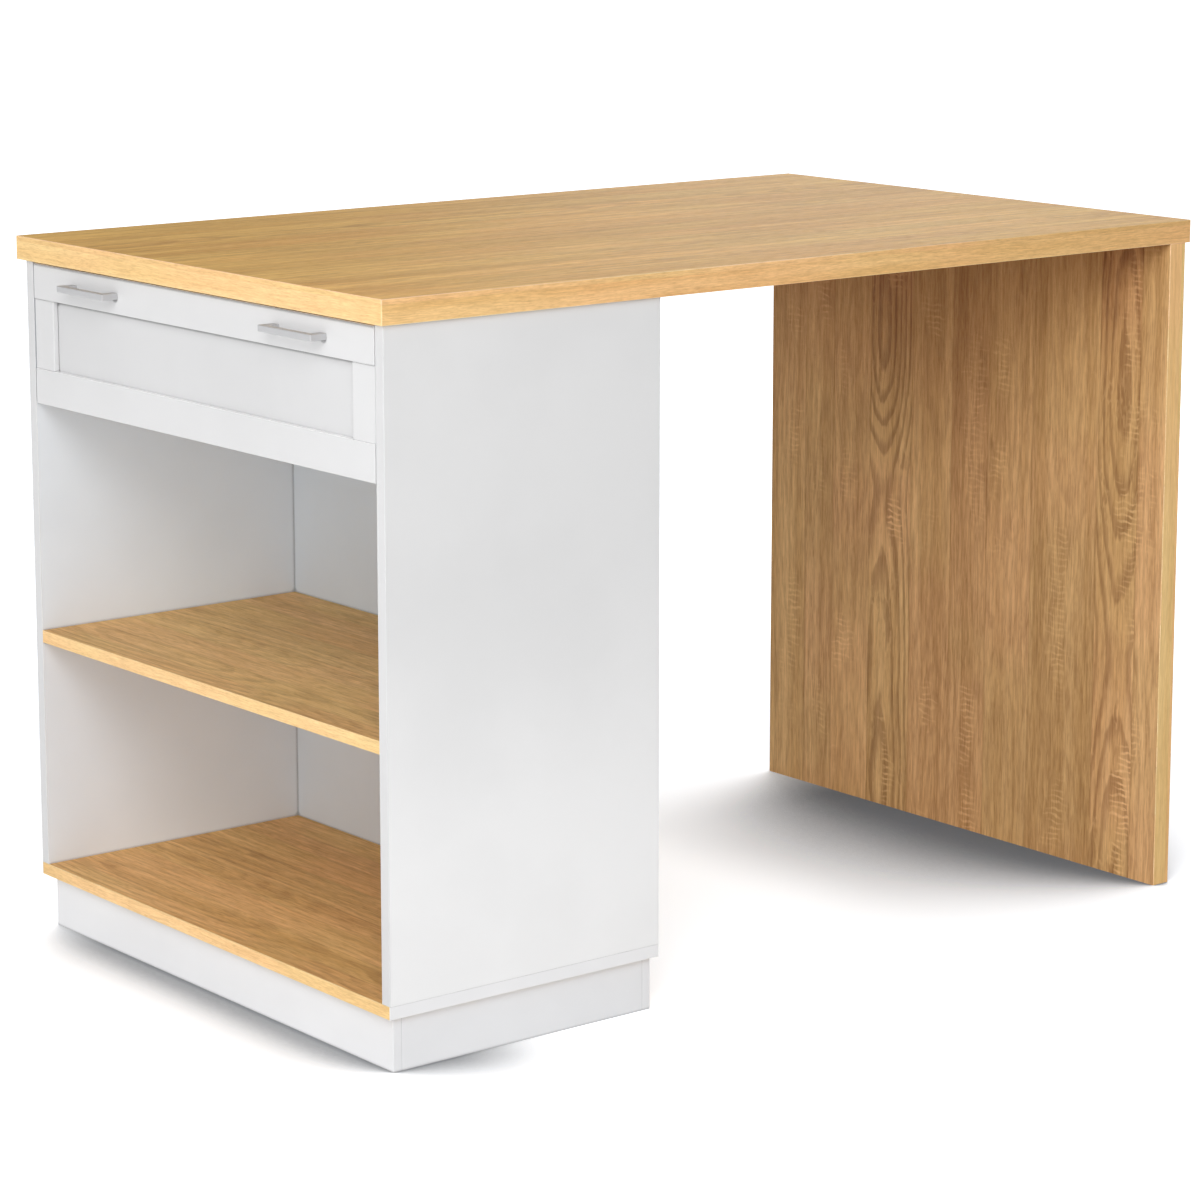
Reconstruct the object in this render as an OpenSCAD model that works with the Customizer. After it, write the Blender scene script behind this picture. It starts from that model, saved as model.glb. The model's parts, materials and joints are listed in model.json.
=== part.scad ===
// Kitchen island: a worktop carried by an open cabinet with one wide drawer and by a full-width
// leg panel. X runs along the worktop from the drawer to the leg panel, Y across it, Z up.
// The origin is on the floor, under the middle of the whole unit with its handles.

/* [Unit] */
// Height of the worktop's upper face above the floor
unit_h = 900; // [860:5:940]
// How far the cabinet's front edges stand back from the worktop's end
front_setback = 5; // [3:1:10]
// How far the cabinet stands back from the worktop's right-hand edge
side_setback = 5; // [3:1:10]

/* [Worktop] */
// Length of the worktop
worktop_l = 1300; // [1200:10:1500]
// Width of the worktop
worktop_w = 800; // [800:10:900]
// Thickness of the worktop
worktop_t = 30; // [28:1:38]
// Thickness of every edge band
band_t = 1; // [0.8:0.1:1.5]
// Size of the eased arris along the boards' edges
edge_ease = 0.8; // [0.4:0.1:1]

/* [Leg panel] */
// Thickness of the leg panel
leg_t = 28; // [22:1:36]
// Width of the leg panel
leg_w = 790; // [760:2:798]
// How far the worktop stands out past the leg panel
leg_end_setback = 8; // [2:1:30]
// How far the leg panel stands back from the worktop's right-hand edge
leg_side_setback = 1; // [0:1:4]
// Length of the steel angle between worktop and leg panel
angle_l = 320; // [240:20:400]
// Width of each leaf of the steel angle
angle_leaf = 30; // [28:1:40]
// Thickness of the steel angle
angle_t = 2.5; // [2:0.5:3]

/* [Cabinet] */
// Width of the cabinet over its side panels
cabinet_w = 780; // [700:5:785]
// Depth of the side panels
cabinet_d = 398; // [395:1:450]
// Thickness of the side panels, shelf, bottom board and stretchers
board_t = 16; // [16:1:19]
// Height of the middle shelf's upper face above the floor
shelf_z = 393; // [340:1:430]
// Width of the stretchers under the worktop
stretcher_w = 80; // [70:5:100]
// Thickness of the back panel
back_t = 3; // [3:0.5:4]
// Distance from the rear edges to the back panel
back_inset = 5; // [4:1:8]
// Depth of the groove that holds the back panel
groove_d = 5; // [4:0.5:6]

/* [Plinth] */
// Height of the plinth
plinth_h = 66; // [60:1:80]
// Thickness of the plinth boards
plinth_t = 12; // [12:1:16]
// How far the plinth stands back at the front
plinth_front = 9; // [6:1:40]
// How far the plinth stands back at the rear
plinth_back = 8; // [6:1:40]
// How far the plinth stands back on the right
plinth_right = 7; // [6:1:40]
// How far the plinth stands back on the left
plinth_left = 20; // [6:1:40]

/* [Drawer front] */
// Height of the drawer front
front_h = 179; // [175:1:190]
// Gap round the drawer front
front_gap = 2; // [1.5:0.5:3]
// Thickness of the recessed panel
panel_t = 12; // [10:1:14]
// Thickness of the rails on the panel
rail_t = 8; // [7:1:10]
// Width of the rails
rail_w = 45; // [40:1:50]
// Thickness of the stiles on the panel
stile_t = 7; // [5:0.5:8]
// Width of the stiles
stile_w = 44; // [40:1:50]

/* [Drawer box] */
// Length of the drawer box
box_l = 350; // [350:1:352]
// Height of the drawer box
box_h = 130; // [120:1:135]
// Thickness of the drawer box's boards
box_t = 12; // [12:1:14]
// Height of the box above the drawer front's lower edge
box_rise = 14; // [12:1:18]
// Thickness of the drawer bottom
bottom_t = 3; // [3:0.5:4]
// How far the drawer opens
travel = 260; // [180:5:260]

/* [Handles] */
// Distance between the screw holes of a handle
handle_holes = 96; // [64:32:128]
// Square section of the bar
handle_bar = 8; // [7:1:10]
// Width of the posts
handle_post = 12; // [10:1:14]
// How far the handles stand out from the drawer front
handle_out = 22; // [20:1:32]
// Distance from the middle of the drawer to the middle of each handle
handle_offset = 225; // [150:5:240]

/* [Runners] */
// Length of the runners
runner_l = 345; // [340:1:346]
// Space that a runner takes beside the drawer box
runner_gap = 12.5; // [12.5:0.1:13]
// Height of the runners' middle above the drawer box's lower edge
runner_rise = 42; // [30:1:60]
// Thickness of the runners' steel
steel_t = 1.2; // [1:0.1:1.2]
// Radius of the balls
ball_r = 2.2; // [2:0.1:2.2]
// Length of a ball cage
cage_l = 80; // [70:1:82]
// Balls in each race
balls = 5; // [4:1:6]

/* [Fittings] */
// Radius of a wooden dowel
dowel_r = 4; // [3:0.5:4]
// Radius of a cam lock
cam_r = 7.5; // [7:0.5:7.5]
// Height of a cam lock
cam_h = 12.5; // [12:0.5:13]
// Distance from a board's end to the middle of its cam lock
cam_in = 24; // [24:1:34]
// Radius of a wood screw's shank
screw_r = 2; // [1.5:0.25:2]

/* [Hidden] */
$fn = 48;
EPS = 0.01;

// Levels
top_z = unit_h - worktop_t;
floor_board_z = plinth_h;
inner_z = plinth_h + board_t;
front_z1 = top_z - front_gap;
front_z0 = front_z1 - front_h;
box_z = front_z0 + box_rise;
runner_z = box_z + runner_rise;
stretcher_z = top_z - board_t;

// Lengths along X
handle_reach = handle_out - front_setback;
x_end = -(worktop_l - handle_reach) / 2;
x_far = x_end + worktop_l;
x_front = x_end + front_setback;
x_back = x_front + cabinet_d;
x_back_panel = x_back - back_inset - back_t;
x_box = x_front + rail_t + panel_t;
x_runner = x_box + 2;
x_leg1 = x_far - leg_end_setback;
x_leg0 = x_leg1 - leg_t;
front_stretcher_x = x_front + 30;
rear_stretcher_x = x_back_panel - stretcher_w;

// Widths across Y
y_right = -worktop_w / 2 + side_setback;
y_left = y_right + cabinet_w;
y_mid = (y_right + y_left) / 2;
inner_w = cabinet_w - 2 * board_t;
box_w = inner_w - 2 * runner_gap;
y_leg0 = -worktop_w / 2 + leg_side_setback;
y_leg1 = y_leg0 + leg_w;
SIDES = [-1, 1];

// Plinth frame
px0 = x_front + plinth_front;
px1 = x_back - plinth_back;
py0 = y_right + plinth_right;
py1 = y_left - plinth_left;
block = 32;

// Cross-section of the runners, measured from the side panel (u) and from the middle (v)
race_r = ball_r + 0.3;
ball_u = 6;
ball_v = 13.5;
lip_r = race_r + steel_t;
inner_web_u = runner_gap - steel_t;
cage_t = 0.7;
cage_u = 2.8;
cage_tab = 5.3;
cage_margin = 8;
cage_start = travel / 2 + 2;
ball_pitch = (cage_l - 2 * cage_margin) / (balls - 1);
RUNNER_SCREWS = [40, 165, 310];
BOX_RUNNER_SCREWS = [28, 180, 318];

// Fittings: positions as [x, z] on the side panels' inner faces
DOWELS = [
    [front_stretcher_x + 24, top_z - board_t / 2],
    [rear_stretcher_x + stretcher_w - 24, top_z - board_t / 2],
    [x_front + cabinet_d / 2, shelf_z - board_t / 2]
];
CAMS = [
    [front_stretcher_x + stretcher_w - 24, top_z - board_t / 2],
    [rear_stretcher_x + 24, top_z - board_t / 2],
    [x_front + 60, shelf_z - board_t / 2],
    [x_back - 60, shelf_z - board_t / 2]
];
dowel_in = 10;
dowel_out = 20;
bolt_in = 10;
bolt_head_r = 3.2;
FOOT_DOWELS = [x_front + 34, x_front + cabinet_d / 2, x_back - 40];
FOOT_SCREWS = [x_front + 90, x_back - 90];
foot_screw_l = 50;
WORKTOP_SCREWS = [
    for (x = [front_stretcher_x + stretcher_w / 2, rear_stretcher_x + stretcher_w / 2])
        for (y = [y_mid - inner_w / 3, y_mid, y_mid + inner_w / 3]) [x, y]
];
BOX_SCREWS = [box_z + 22, box_z + box_h - 18];
FRONT_SCREWS = [
    for (y = [-box_w / 3, box_w / 3]) for (z = [box_z + 35, box_z + box_h - 35]) [y_mid + y, z]
];
angle_screw_step = angle_l / 4;
ANGLE_SCREWS = [for (i = [-1.5 : 1 : 1.5]) (y_leg0 + y_leg1) / 2 + i * angle_screw_step];
handle_z = front_z1 - rail_w / 2;
handle_screw_l = panel_t + rail_t + 9;

// ---- Shared shapes ----

// Rectangle whose corners are cut by the arris
module eased_rect(a, b, e) {
    polygon([[e, 0], [a - e, 0], [a, e], [a, b - e], [a - e, b], [e, b], [0, b - e], [0, e]]);
}

// Board between two corners with every edge eased
module eased_board(lo, hi, e = edge_ease) {
    s = hi - lo;
    translate(lo) intersection() {
        linear_extrude(s.z) eased_rect(s.x, s.y, e);
        translate([0, s.y, 0]) rotate([90, 0, 0]) linear_extrude(s.y) eased_rect(s.x, s.z, e);
        rotate([90, 0, 90]) linear_extrude(s.x) eased_rect(s.y, s.z, e);
    }
}

// Board between two corners with sharp edges, as it leaves the saw
module board(lo, hi) {
    translate(lo) cube(hi - lo);
}

// Band on a board's end: flat against the board at local X = 0, eased on its outer edges
module edge_band(l, h) {
    e = band_t / 2;
    intersection() {
        linear_extrude(h) polygon([[0, 0], [-band_t + e, 0], [-band_t, e], [-band_t, l - e],
            [-band_t + e, l], [0, l]]);
        translate([0, l, 0]) rotate([90, 0, 0])
            linear_extrude(l) polygon([[0, 0], [-band_t + e, 0], [-band_t, e], [-band_t, h - e],
                [-band_t + e, h], [0, h]]);
    }
}

// A cylinder whose axis runs along local +Y
module rod_y(r, l) {
    rotate([-90, 0, 0]) cylinder(r = r, h = l);
}

// A cylinder whose axis runs along local +X
module rod_x(r, l) {
    rotate([0, 90, 0]) cylinder(r = r, h = l);
}

// Local frame on a side panel's inner face: X along it, Y into the cabinet, Z up
module on_side(side, x, z) {
    y = side > 0 ? y_left - board_t : y_right + board_t;
    translate([x, y, z]) mirror([0, side > 0 ? 1 : 0, 0]) children();
}

// Local frame on the outer face of the drawer box's side
module on_box(side, x, z) {
    on_side(side, x, z) translate([0, runner_gap, 0]) children();
}

// Screw along +Z with its head below zero and a pointed shank
module pan_screw(l, r = screw_r, head_r = 3.5, head_h = 1.2) {
    tip = 2 * r;
    translate([0, 0, -head_h]) cylinder(r1 = head_r - 0.5, r2 = head_r, h = head_h);
    translate([0, 0, -EPS]) cylinder(r = r, h = l - tip + EPS);
    translate([0, 0, l - tip]) cylinder(r1 = r, r2 = 0.4, h = tip);
}

// Screw along +Z whose countersunk head ends flush at zero
module flush_screw(l, r, head_r, head_h) {
    tip = 2 * r;
    cylinder(r1 = head_r, r2 = r, h = head_h);
    translate([0, 0, head_h - EPS]) cylinder(r = r, h = l - tip - head_h + EPS);
    translate([0, 0, l - tip]) cylinder(r1 = r, r2 = 0.4, h = tip);
}

// Hole for flush_screw
module flush_hole(l, r, head_r, head_h) {
    translate([0, 0, -EPS]) cylinder(r1 = head_r + EPS, r2 = r, h = head_h + EPS);
    cylinder(r = r, h = l);
}

// ---- Worktop ----

module worktop() {
    lo = [x_end + band_t, -worktop_w / 2 + band_t, top_z];
    hi = [x_far - band_t, worktop_w / 2 - band_t, unit_h];
    color("burlywood") difference() {
        board(lo, hi);
        for (p = WORKTOP_SCREWS) translate([p.x, p.y, top_z - EPS]) cylinder(r = screw_r, h = 14 + EPS);
        for (y = ANGLE_SCREWS)
            translate([x_leg0 - angle_leaf / 2, y, top_z - EPS]) cylinder(r = screw_r, h = 14 + EPS);
    }
}

// The two bands on the worktop's ends
module worktop_end_bands() {
    short = worktop_w - 2 * band_t;
    color("wheat") {
        translate([x_end + band_t, -short / 2, top_z]) edge_band(short, worktop_t);
        translate([x_far - band_t, short / 2, top_z]) rotate([0, 0, 180]) edge_band(short, worktop_t);
    }
}

// The two bands along the worktop, which cover the ends of the short ones
module worktop_side_bands() {
    color("wheat") {
        translate([x_far, -worktop_w / 2 + band_t, top_z])
            rotate([0, 0, 90]) edge_band(worktop_l, worktop_t);
        translate([x_end, worktop_w / 2 - band_t, top_z])
            rotate([0, 0, -90]) edge_band(worktop_l, worktop_t);
    }
}

// ---- Leg panel and its steel angle ----

module leg_panel() {
    color("peru") difference() {
        board([x_leg0, y_leg0 + band_t, 0], [x_leg1, y_leg1 - band_t, top_z]);
        for (y = ANGLE_SCREWS) translate([x_leg0 - EPS, y, top_z - angle_leaf / 2])
            rod_x(screw_r, 14 + EPS);
    }
}

module leg_edge_bands() {
    color("burlywood") {
        translate([x_leg1, y_leg0 + band_t, 0]) rotate([0, 0, 90]) edge_band(leg_t, top_z);
        translate([x_leg0, y_leg1 - band_t, 0]) rotate([0, 0, -90]) edge_band(leg_t, top_z);
    }
}

module leg_angle() {
    y0 = (y_leg0 + y_leg1) / 2 - angle_l / 2;
    color("silver") difference() {
        translate([x_leg0, y0 + angle_l, top_z]) rotate([90, 0, 0]) linear_extrude(angle_l)
            difference() {
                translate([-angle_leaf, -angle_leaf]) square(angle_leaf);
                translate([-angle_leaf - EPS, -angle_leaf - EPS])
                    square(angle_leaf - angle_t + EPS - 2);
                translate([-angle_leaf - EPS, -angle_leaf - EPS])
                    square([angle_leaf - angle_t - 2 + EPS, angle_leaf - angle_t + EPS]);
                translate([-angle_leaf - EPS, -angle_leaf - EPS])
                    square([angle_leaf - angle_t + EPS, angle_leaf - angle_t - 2 + EPS]);
                translate([-angle_t - 2, -angle_t - 2]) circle(r = 2);
            }
        for (y = ANGLE_SCREWS) {
            translate([x_leg0 - angle_leaf / 2, y, top_z - angle_t - 1])
                cylinder(r = screw_r + 0.3, h = angle_t + 2);
            translate([x_leg0 - angle_t - 1, y, top_z - angle_leaf / 2])
                rod_x(screw_r + 0.3, angle_t + 2);
        }
    }
}

module leg_angle_screws() {
    color("gainsboro") for (y = ANGLE_SCREWS) {
        translate([x_leg0 - angle_leaf / 2, y, top_z - angle_t]) pan_screw(angle_t + 14);
        translate([x_leg0 - angle_t, y, top_z - angle_leaf / 2])
            rotate([0, 90, 0]) pan_screw(angle_t + 14);
    }
}

// ---- Cabinet boards ----

module side_panel(side) {
    y = side > 0 ? y_left - board_t : y_right;
    mid_y = y + board_t / 2;
    color("white") difference() {
        board([x_front + band_t, y, inner_z], [x_back, y + board_t, top_z]);
        on_side(side, x_back_panel, inner_z - EPS)
            translate([0, -groove_d, 0]) cube([back_t, groove_d + EPS, top_z]);
        for (p = DOWELS) on_side(side, p.x, p.y) translate([0, -dowel_in, 0]) rod_y(dowel_r, dowel_in + 1);
        for (p = CAMS) on_side(side, p.x, p.y) translate([0, -bolt_in, 0]) rod_y(2.5, bolt_in + 1);
        for (x = RUNNER_SCREWS)
            on_side(side, x_runner + x, runner_z) translate([0, -12 + steel_t, 0]) rod_y(1.5, 12);
        for (x = FOOT_DOWELS) translate([x, mid_y, inner_z - 1]) cylinder(r = dowel_r, h = dowel_out + 1);
        for (x = FOOT_SCREWS)
            translate([x, mid_y, inner_z - 1]) cylinder(r = 2.5, h = foot_screw_l - board_t + 1);
    }
}

module left_side_panel() { side_panel(1); }

module right_side_panel() { side_panel(-1); }

module side_edge_bands() {
    color("white") for (y = [y_right, y_left - board_t])
        translate([x_front + band_t, y, inner_z]) edge_band(board_t, top_z - inner_z);
}

module bottom_board() {
    color("burlywood") difference() {
        board([x_front + band_t, y_right + band_t, floor_board_z], [x_back, y_left - band_t, inner_z]);
        translate([x_back_panel, y_right + board_t - groove_d, inner_z - groove_d])
            cube([back_t, inner_w + 2 * groove_d, groove_d + 1]);
        for (y = [y_right + board_t / 2, y_left - board_t / 2]) {
            for (x = FOOT_DOWELS)
                translate([x, y, inner_z - dowel_in]) cylinder(r = dowel_r, h = dowel_in + 1);
            for (x = FOOT_SCREWS) translate([x, y, floor_board_z]) flush_hole(board_t + 1, 2.5, 5, 3);
        }
        for (p = plinth_block_corners()) translate([p.x, p.y, floor_board_z - EPS])
            cylinder(r = screw_r, h = 10 + EPS);
    }
}

module bottom_edge_band() {
    color("wheat") translate([x_front + band_t, y_right + band_t, floor_board_z])
        edge_band(cabinet_w - 2 * band_t, board_t);
}

module bottom_end_bands() {
    color("white") {
        translate([x_back, y_right + band_t, floor_board_z])
            rotate([0, 0, 90]) edge_band(cabinet_d, board_t);
        translate([x_front, y_left - band_t, floor_board_z])
            rotate([0, 0, -90]) edge_band(cabinet_d, board_t);
    }
}

// Bores in the ends and underside of a board that cams and dowels hold; z is its lower face
module end_bores(cams, dowels, z) {
    for (side = SIDES) {
        for (p = cams) {
            on_side(side, p.x, p.y) translate([0, -1, 0]) rod_y(3.5, cam_in + 1);
            on_side(side, p.x, z) translate([0, cam_in, -EPS]) cylinder(r = cam_r, h = cam_h + EPS);
        }
        for (p = dowels) on_side(side, p.x, p.y) translate([0, -1, 0]) rod_y(dowel_r, dowel_out + 1);
    }
}

module middle_shelf() {
    color("burlywood") difference() {
        board([x_front + band_t, y_right + board_t, shelf_z - board_t],
            [x_back_panel, y_left - board_t, shelf_z]);
        end_bores([CAMS[2], CAMS[3]], [DOWELS[2]], shelf_z - board_t);
    }
}

module shelf_edge_band() {
    color("wheat") translate([x_front + band_t, y_right + board_t, shelf_z - board_t])
        edge_band(inner_w, board_t);
}

module back_panel() {
    color("white") board(
        [x_back_panel, y_right + board_t - groove_d, inner_z - groove_d],
        [x_back_panel + back_t, y_left - board_t + groove_d, top_z]);
}

module stretcher(x, cam, dowel) {
    color("white") difference() {
        eased_board([x, y_right + board_t, stretcher_z], [x + stretcher_w, y_left - board_t, top_z], 0.5);
        end_bores([cam], [dowel], stretcher_z);
        for (p = WORKTOP_SCREWS) translate([p.x, p.y, stretcher_z - 1])
            cylinder(r = screw_r, h = board_t + 2);
    }
}

module front_stretcher() { stretcher(front_stretcher_x, CAMS[0], DOWELS[0]); }

module rear_stretcher() { stretcher(rear_stretcher_x, CAMS[1], DOWELS[1]); }

// ---- Plinth ----

function plinth_block_corners() = [
    for (x = [px0 + plinth_t + block / 3, px1 - plinth_t - block / 3])
        for (y = [py0 + plinth_t + block / 3, py1 - plinth_t - block / 3]) [x, y]
];

module plinth_front_board() {
    color("white") eased_board([px0, py0, 0], [px0 + plinth_t, py1, plinth_h], 0.6);
}

module plinth_rear_board() {
    color("white") eased_board([px1 - plinth_t, py0, 0], [px1, py1, plinth_h], 0.6);
}

module plinth_right_board() {
    color("white") eased_board([px0 + plinth_t, py0, 0], [px1 - plinth_t, py0 + plinth_t, plinth_h], 0.6);
}

module plinth_left_board() {
    color("white") eased_board([px0 + plinth_t, py1 - plinth_t, 0], [px1 - plinth_t, py1, plinth_h], 0.6);
}

// Three-cornered glue block with a screw up into the bottom board
module corner_block() {
    difference() {
        linear_extrude(plinth_h - 6) polygon([[0, 0], [block, 0], [block, 6], [6, block], [0, block]]);
        translate([block / 3, block / 3, -1]) cylinder(r = screw_r + 0.3, h = plinth_h);
        translate([block / 3, block / 3, -1]) cylinder(r = 4.5, h = 31);
    }
}

module plinth_blocks() {
    xs = [px0 + plinth_t, px1 - plinth_t];
    ys = [py0 + plinth_t, py1 - plinth_t];
    color("tan") for (i = [0, 1]) for (j = [0, 1])
        translate([xs[i], ys[j], 6]) mirror([i, 0, 0]) mirror([0, j, 0]) corner_block();
}

module plinth_screws() {
    color("gainsboro") for (p = plinth_block_corners())
        translate([p.x, p.y, 36]) pan_screw(plinth_h - 36 + 10, screw_r, 4, 2);
}

// ---- Knock-down fittings ----

module carcass_dowels() {
    color("wheat") {
        for (side = SIDES) for (p = DOWELS)
            on_side(side, p.x, p.y) translate([0, -dowel_in, 0]) rod_y(dowel_r, dowel_in + dowel_out);
        for (y = [y_right + board_t / 2, y_left - board_t / 2]) for (x = FOOT_DOWELS)
            translate([x, y, inner_z - dowel_in]) cylinder(r = dowel_r, h = dowel_in + dowel_out);
    }
}

module cam_bolt() {
    translate([0, -bolt_in, 0]) rod_y(2.5, bolt_in + EPS);
    rod_y(3, 16);
    translate([0, 15.9, 0]) rod_y(1.8, 5.2);
    translate([0, 21, 0]) rod_y(bolt_head_r, 4);
}

module cam_bolts() {
    color("gainsboro") for (side = SIDES) for (p = CAMS) on_side(side, p.x, p.y) cam_bolt();
}

module cam_lock() {
    difference() {
        cylinder(r = cam_r, h = cam_h);
        translate([0, -cam_r - 1, board_t / 2]) rod_y(bolt_head_r + 0.3, cam_r + 4);
        for (a = [0, 90]) rotate([0, 0, a]) translate([-3, -0.6, -EPS]) cube([6, 1.2, 2]);
    }
}

module cam_locks() {
    color("silver") for (side = SIDES) for (p = CAMS)
        on_side(side, p.x, p.y - board_t / 2) translate([0, cam_in, 0]) cam_lock();
}

module carcass_screws() {
    color("gainsboro") for (y = [y_right + board_t / 2, y_left - board_t / 2]) for (x = FOOT_SCREWS)
        translate([x, y, floor_board_z]) flush_screw(foot_screw_l, 2.5, 5, 3);
}

module worktop_screws() {
    color("gainsboro") for (p = WORKTOP_SCREWS)
        translate([p.x, p.y, stretcher_z]) pan_screw(board_t + 14, screw_r, 4, 2);
}

// ---- Ball runners ----

// Part of a flat ring between two angles no more than 180 degrees apart
module ring_sector(r0, r1, a0, a1) {
    reach = 2 * r1;
    mid = (a0 + a1) / 2;
    intersection() {
        difference() {
            circle(r = r1);
            circle(r = r0);
        }
        polygon([[0, 0], for (a = [a0, (a0 + mid) / 2, mid, (mid + a1) / 2, a1])
            reach * [cos(a), sin(a)]]);
    }
}

// C-shaped member on the cabinet: its ends curl over the balls
module outer_profile() {
    flange_v = ball_v + race_r - 1.55;
    translate([0, -flange_v - steel_t]) square([steel_t, 2 * (flange_v + steel_t)]);
    for (m = [0, 1]) mirror([0, m]) {
        translate([0, flange_v]) square([ball_u - 2.4, steel_t]);
        translate([ball_u, ball_v]) ring_sector(race_r, lip_r, -10, 150);
    }
}

// Member on the drawer: its ends cradle the balls from inside
module inner_profile() {
    flange_v = ball_v - race_r - 0.1;
    translate([inner_web_u, -flange_v - steel_t]) square([steel_t, 2 * (flange_v + steel_t)]);
    for (m = [0, 1]) mirror([0, m]) {
        translate([ball_u + 2.2, flange_v]) square([inner_web_u - ball_u - 2, steel_t]);
        translate([ball_u, ball_v]) ring_sector(race_r, lip_r, 240, 330);
    }
}

// Pressed strip between the members: a web with a tab behind each race
module cage_profile() {
    translate([cage_u, -ball_v - cage_t / 2]) square([cage_t, 2 * ball_v + cage_t]);
    for (v = [-ball_v, ball_v]) translate([cage_u, v - cage_t / 2]) square([cage_tab, cage_t]);
}

// A runner's profile drawn out along X from the given place
module runner_length(l) {
    rotate([90, 0, 90]) linear_extrude(l) children();
}

module runner_outer(side) {
    color("silver") on_side(side, x_runner, runner_z) difference() {
        runner_length(runner_l) outer_profile();
        for (x = RUNNER_SCREWS) translate([x, -1, 0]) rod_y(screw_r, steel_t + 2);
    }
}

module runner_left_outer() { runner_outer(1); }

module runner_right_outer() { runner_outer(-1); }

module runner_outer_screws() {
    color("gainsboro") for (side = SIDES) for (x = RUNNER_SCREWS)
        on_side(side, x_runner + x, runner_z) translate([0, steel_t, 0])
            rotate([90, 0, 0]) pan_screw(12, 1.5, 3.3, 1.1);
}

module runner_inner(side) {
    color("silver") on_side(side, x_runner, runner_z) difference() {
        runner_length(runner_l) inner_profile();
        for (x = BOX_RUNNER_SCREWS) translate([x, inner_web_u - 1, 0]) rod_y(screw_r, steel_t + 2);
    }
}

module runner_left_inner() { runner_inner(1); }

module runner_right_inner() { runner_inner(-1); }

module runner_inner_screws() {
    color("gainsboro") for (side = SIDES) for (x = BOX_RUNNER_SCREWS)
        on_side(side, x_runner + x, runner_z) translate([0, inner_web_u, 0])
            rotate([-90, 0, 0]) pan_screw(10, 1.5, 3.3, 1.1);
}

// Children at the middle of each ball of one runner
module at_balls(side) {
    on_side(side, x_runner + cage_start, runner_z)
        for (i = [0 : balls - 1]) for (v = [-ball_v, ball_v])
            translate([cage_margin + i * ball_pitch, ball_u, v]) children();
}

// Strip that keeps the balls apart, with an open pocket round each of them
module ball_cage(side) {
    color("lightsteelblue") difference() {
        on_side(side, x_runner + cage_start, runner_z) difference() {
            runner_length(cage_l) cage_profile();
            for (i = [0 : balls - 2]) translate([cage_margin + (i + 0.5) * ball_pitch, 0, 0])
                rod_y(5, 2 * ball_u);
        }
        at_balls(side) translate([0, 0, -1]) cylinder(r = ball_r + 0.05, h = 2);
    }
}

module ball_cage_left() { ball_cage(1); }

module ball_cage_right() { ball_cage(-1); }

module runner_balls() {
    color("white") for (side = SIDES) at_balls(side) sphere(r = ball_r);
}

// ---- Drawer front ----

front_y0 = y_right + board_t + front_gap;
front_y1 = y_left - board_t - front_gap;
panel_x = x_front + rail_t;

// Holes for the handles' screws, along +X from the given place
module handle_bores(x, l, r) {
    for (side = SIDES) for (h = SIDES)
        translate([x, y_mid + side * handle_offset + h * handle_holes / 2, handle_z]) rod_x(r, l);
}

module drawer_front_panel() {
    color("whitesmoke") difference() {
        board([panel_x, front_y0, front_z0], [x_box, front_y1, front_z1]);
        handle_bores(panel_x - 1, panel_t + 2, screw_r);
        for (p = FRONT_SCREWS) translate([x_box - 8, p.x, p.y]) rod_x(screw_r, 9);
    }
}

module drawer_top_rail() {
    color("white") difference() {
        eased_board([x_front, front_y0, front_z1 - rail_w], [panel_x, front_y1, front_z1]);
        handle_bores(x_front - 1, rail_t + 2, screw_r);
    }
}

module drawer_bottom_rail() {
    color("white") eased_board([x_front, front_y0, front_z0], [panel_x, front_y1, front_z0 + rail_w]);
}

module stile(y) {
    color("white") eased_board([panel_x - stile_t, y, front_z0 + rail_w],
        [panel_x, y + stile_w, front_z1 - rail_w], 0.5);
}

module drawer_left_stile() { stile(front_y1 - stile_w); }

module drawer_right_stile() { stile(front_y0); }

// ---- Drawer box ----

box_y0 = y_mid - box_w / 2;
box_y1 = y_mid + box_w / 2;
box_x1 = x_box + box_l;
bottom_z = box_z + 10;
bottom_in = 6;

module bottom_groove(lo, hi) {
    board([lo.x, lo.y, bottom_z], [hi.x, hi.y, bottom_z + bottom_t]);
}

module drawer_side(side) {
    y0 = side > 0 ? box_y1 - box_t : box_y0;
    groove_y = side > 0 ? box_y1 - box_t - 1 : box_y0 + box_t - bottom_in;
    color("white") difference() {
        board([x_box, y0, box_z], [box_x1, y0 + box_t, box_z + box_h]);
        bottom_groove([x_box + box_t - bottom_in, groove_y], [box_x1 + 1, groove_y + bottom_in + 1]);
        for (x = BOX_RUNNER_SCREWS)
            on_box(side, x_runner + x, runner_z) translate([0, -1, 0]) rod_y(1.5, 9.8);
        for (x = [x_box + box_t / 2, box_x1 - box_t / 2]) for (z = BOX_SCREWS)
            on_box(side, x, z) rotate([-90, 0, 0]) flush_hole(box_t + 1, screw_r, 4, 2.5);
    }
}

module drawer_left_side() { drawer_side(1); }

module drawer_right_side() { drawer_side(-1); }

module cross_board(x, z0) {
    difference() {
        board([x, box_y0 + box_t, z0], [x + box_t, box_y1 - box_t, box_z + box_h]);
        for (side = SIDES) for (z = BOX_SCREWS)
            on_box(side, x + box_t / 2, z) translate([0, box_t - 1, 0]) rod_y(screw_r, 29);
    }
}

module drawer_inner_front() {
    color("white") difference() {
        cross_board(x_box, box_z);
        bottom_groove([x_box + box_t - bottom_in, box_y0], [x_box + box_t + 1, box_y1]);
        for (p = FRONT_SCREWS) translate([x_box - 1, p.x, p.y]) rod_x(screw_r, box_t + 2);
    }
}

module drawer_back() {
    color("white") cross_board(box_x1 - box_t, bottom_z + bottom_t);
}

module drawer_bottom() {
    in = box_t - bottom_in;
    color("whitesmoke")
        board([x_box + in, box_y0 + in, bottom_z], [box_x1, box_y1 - in, bottom_z + bottom_t]);
}

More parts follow.
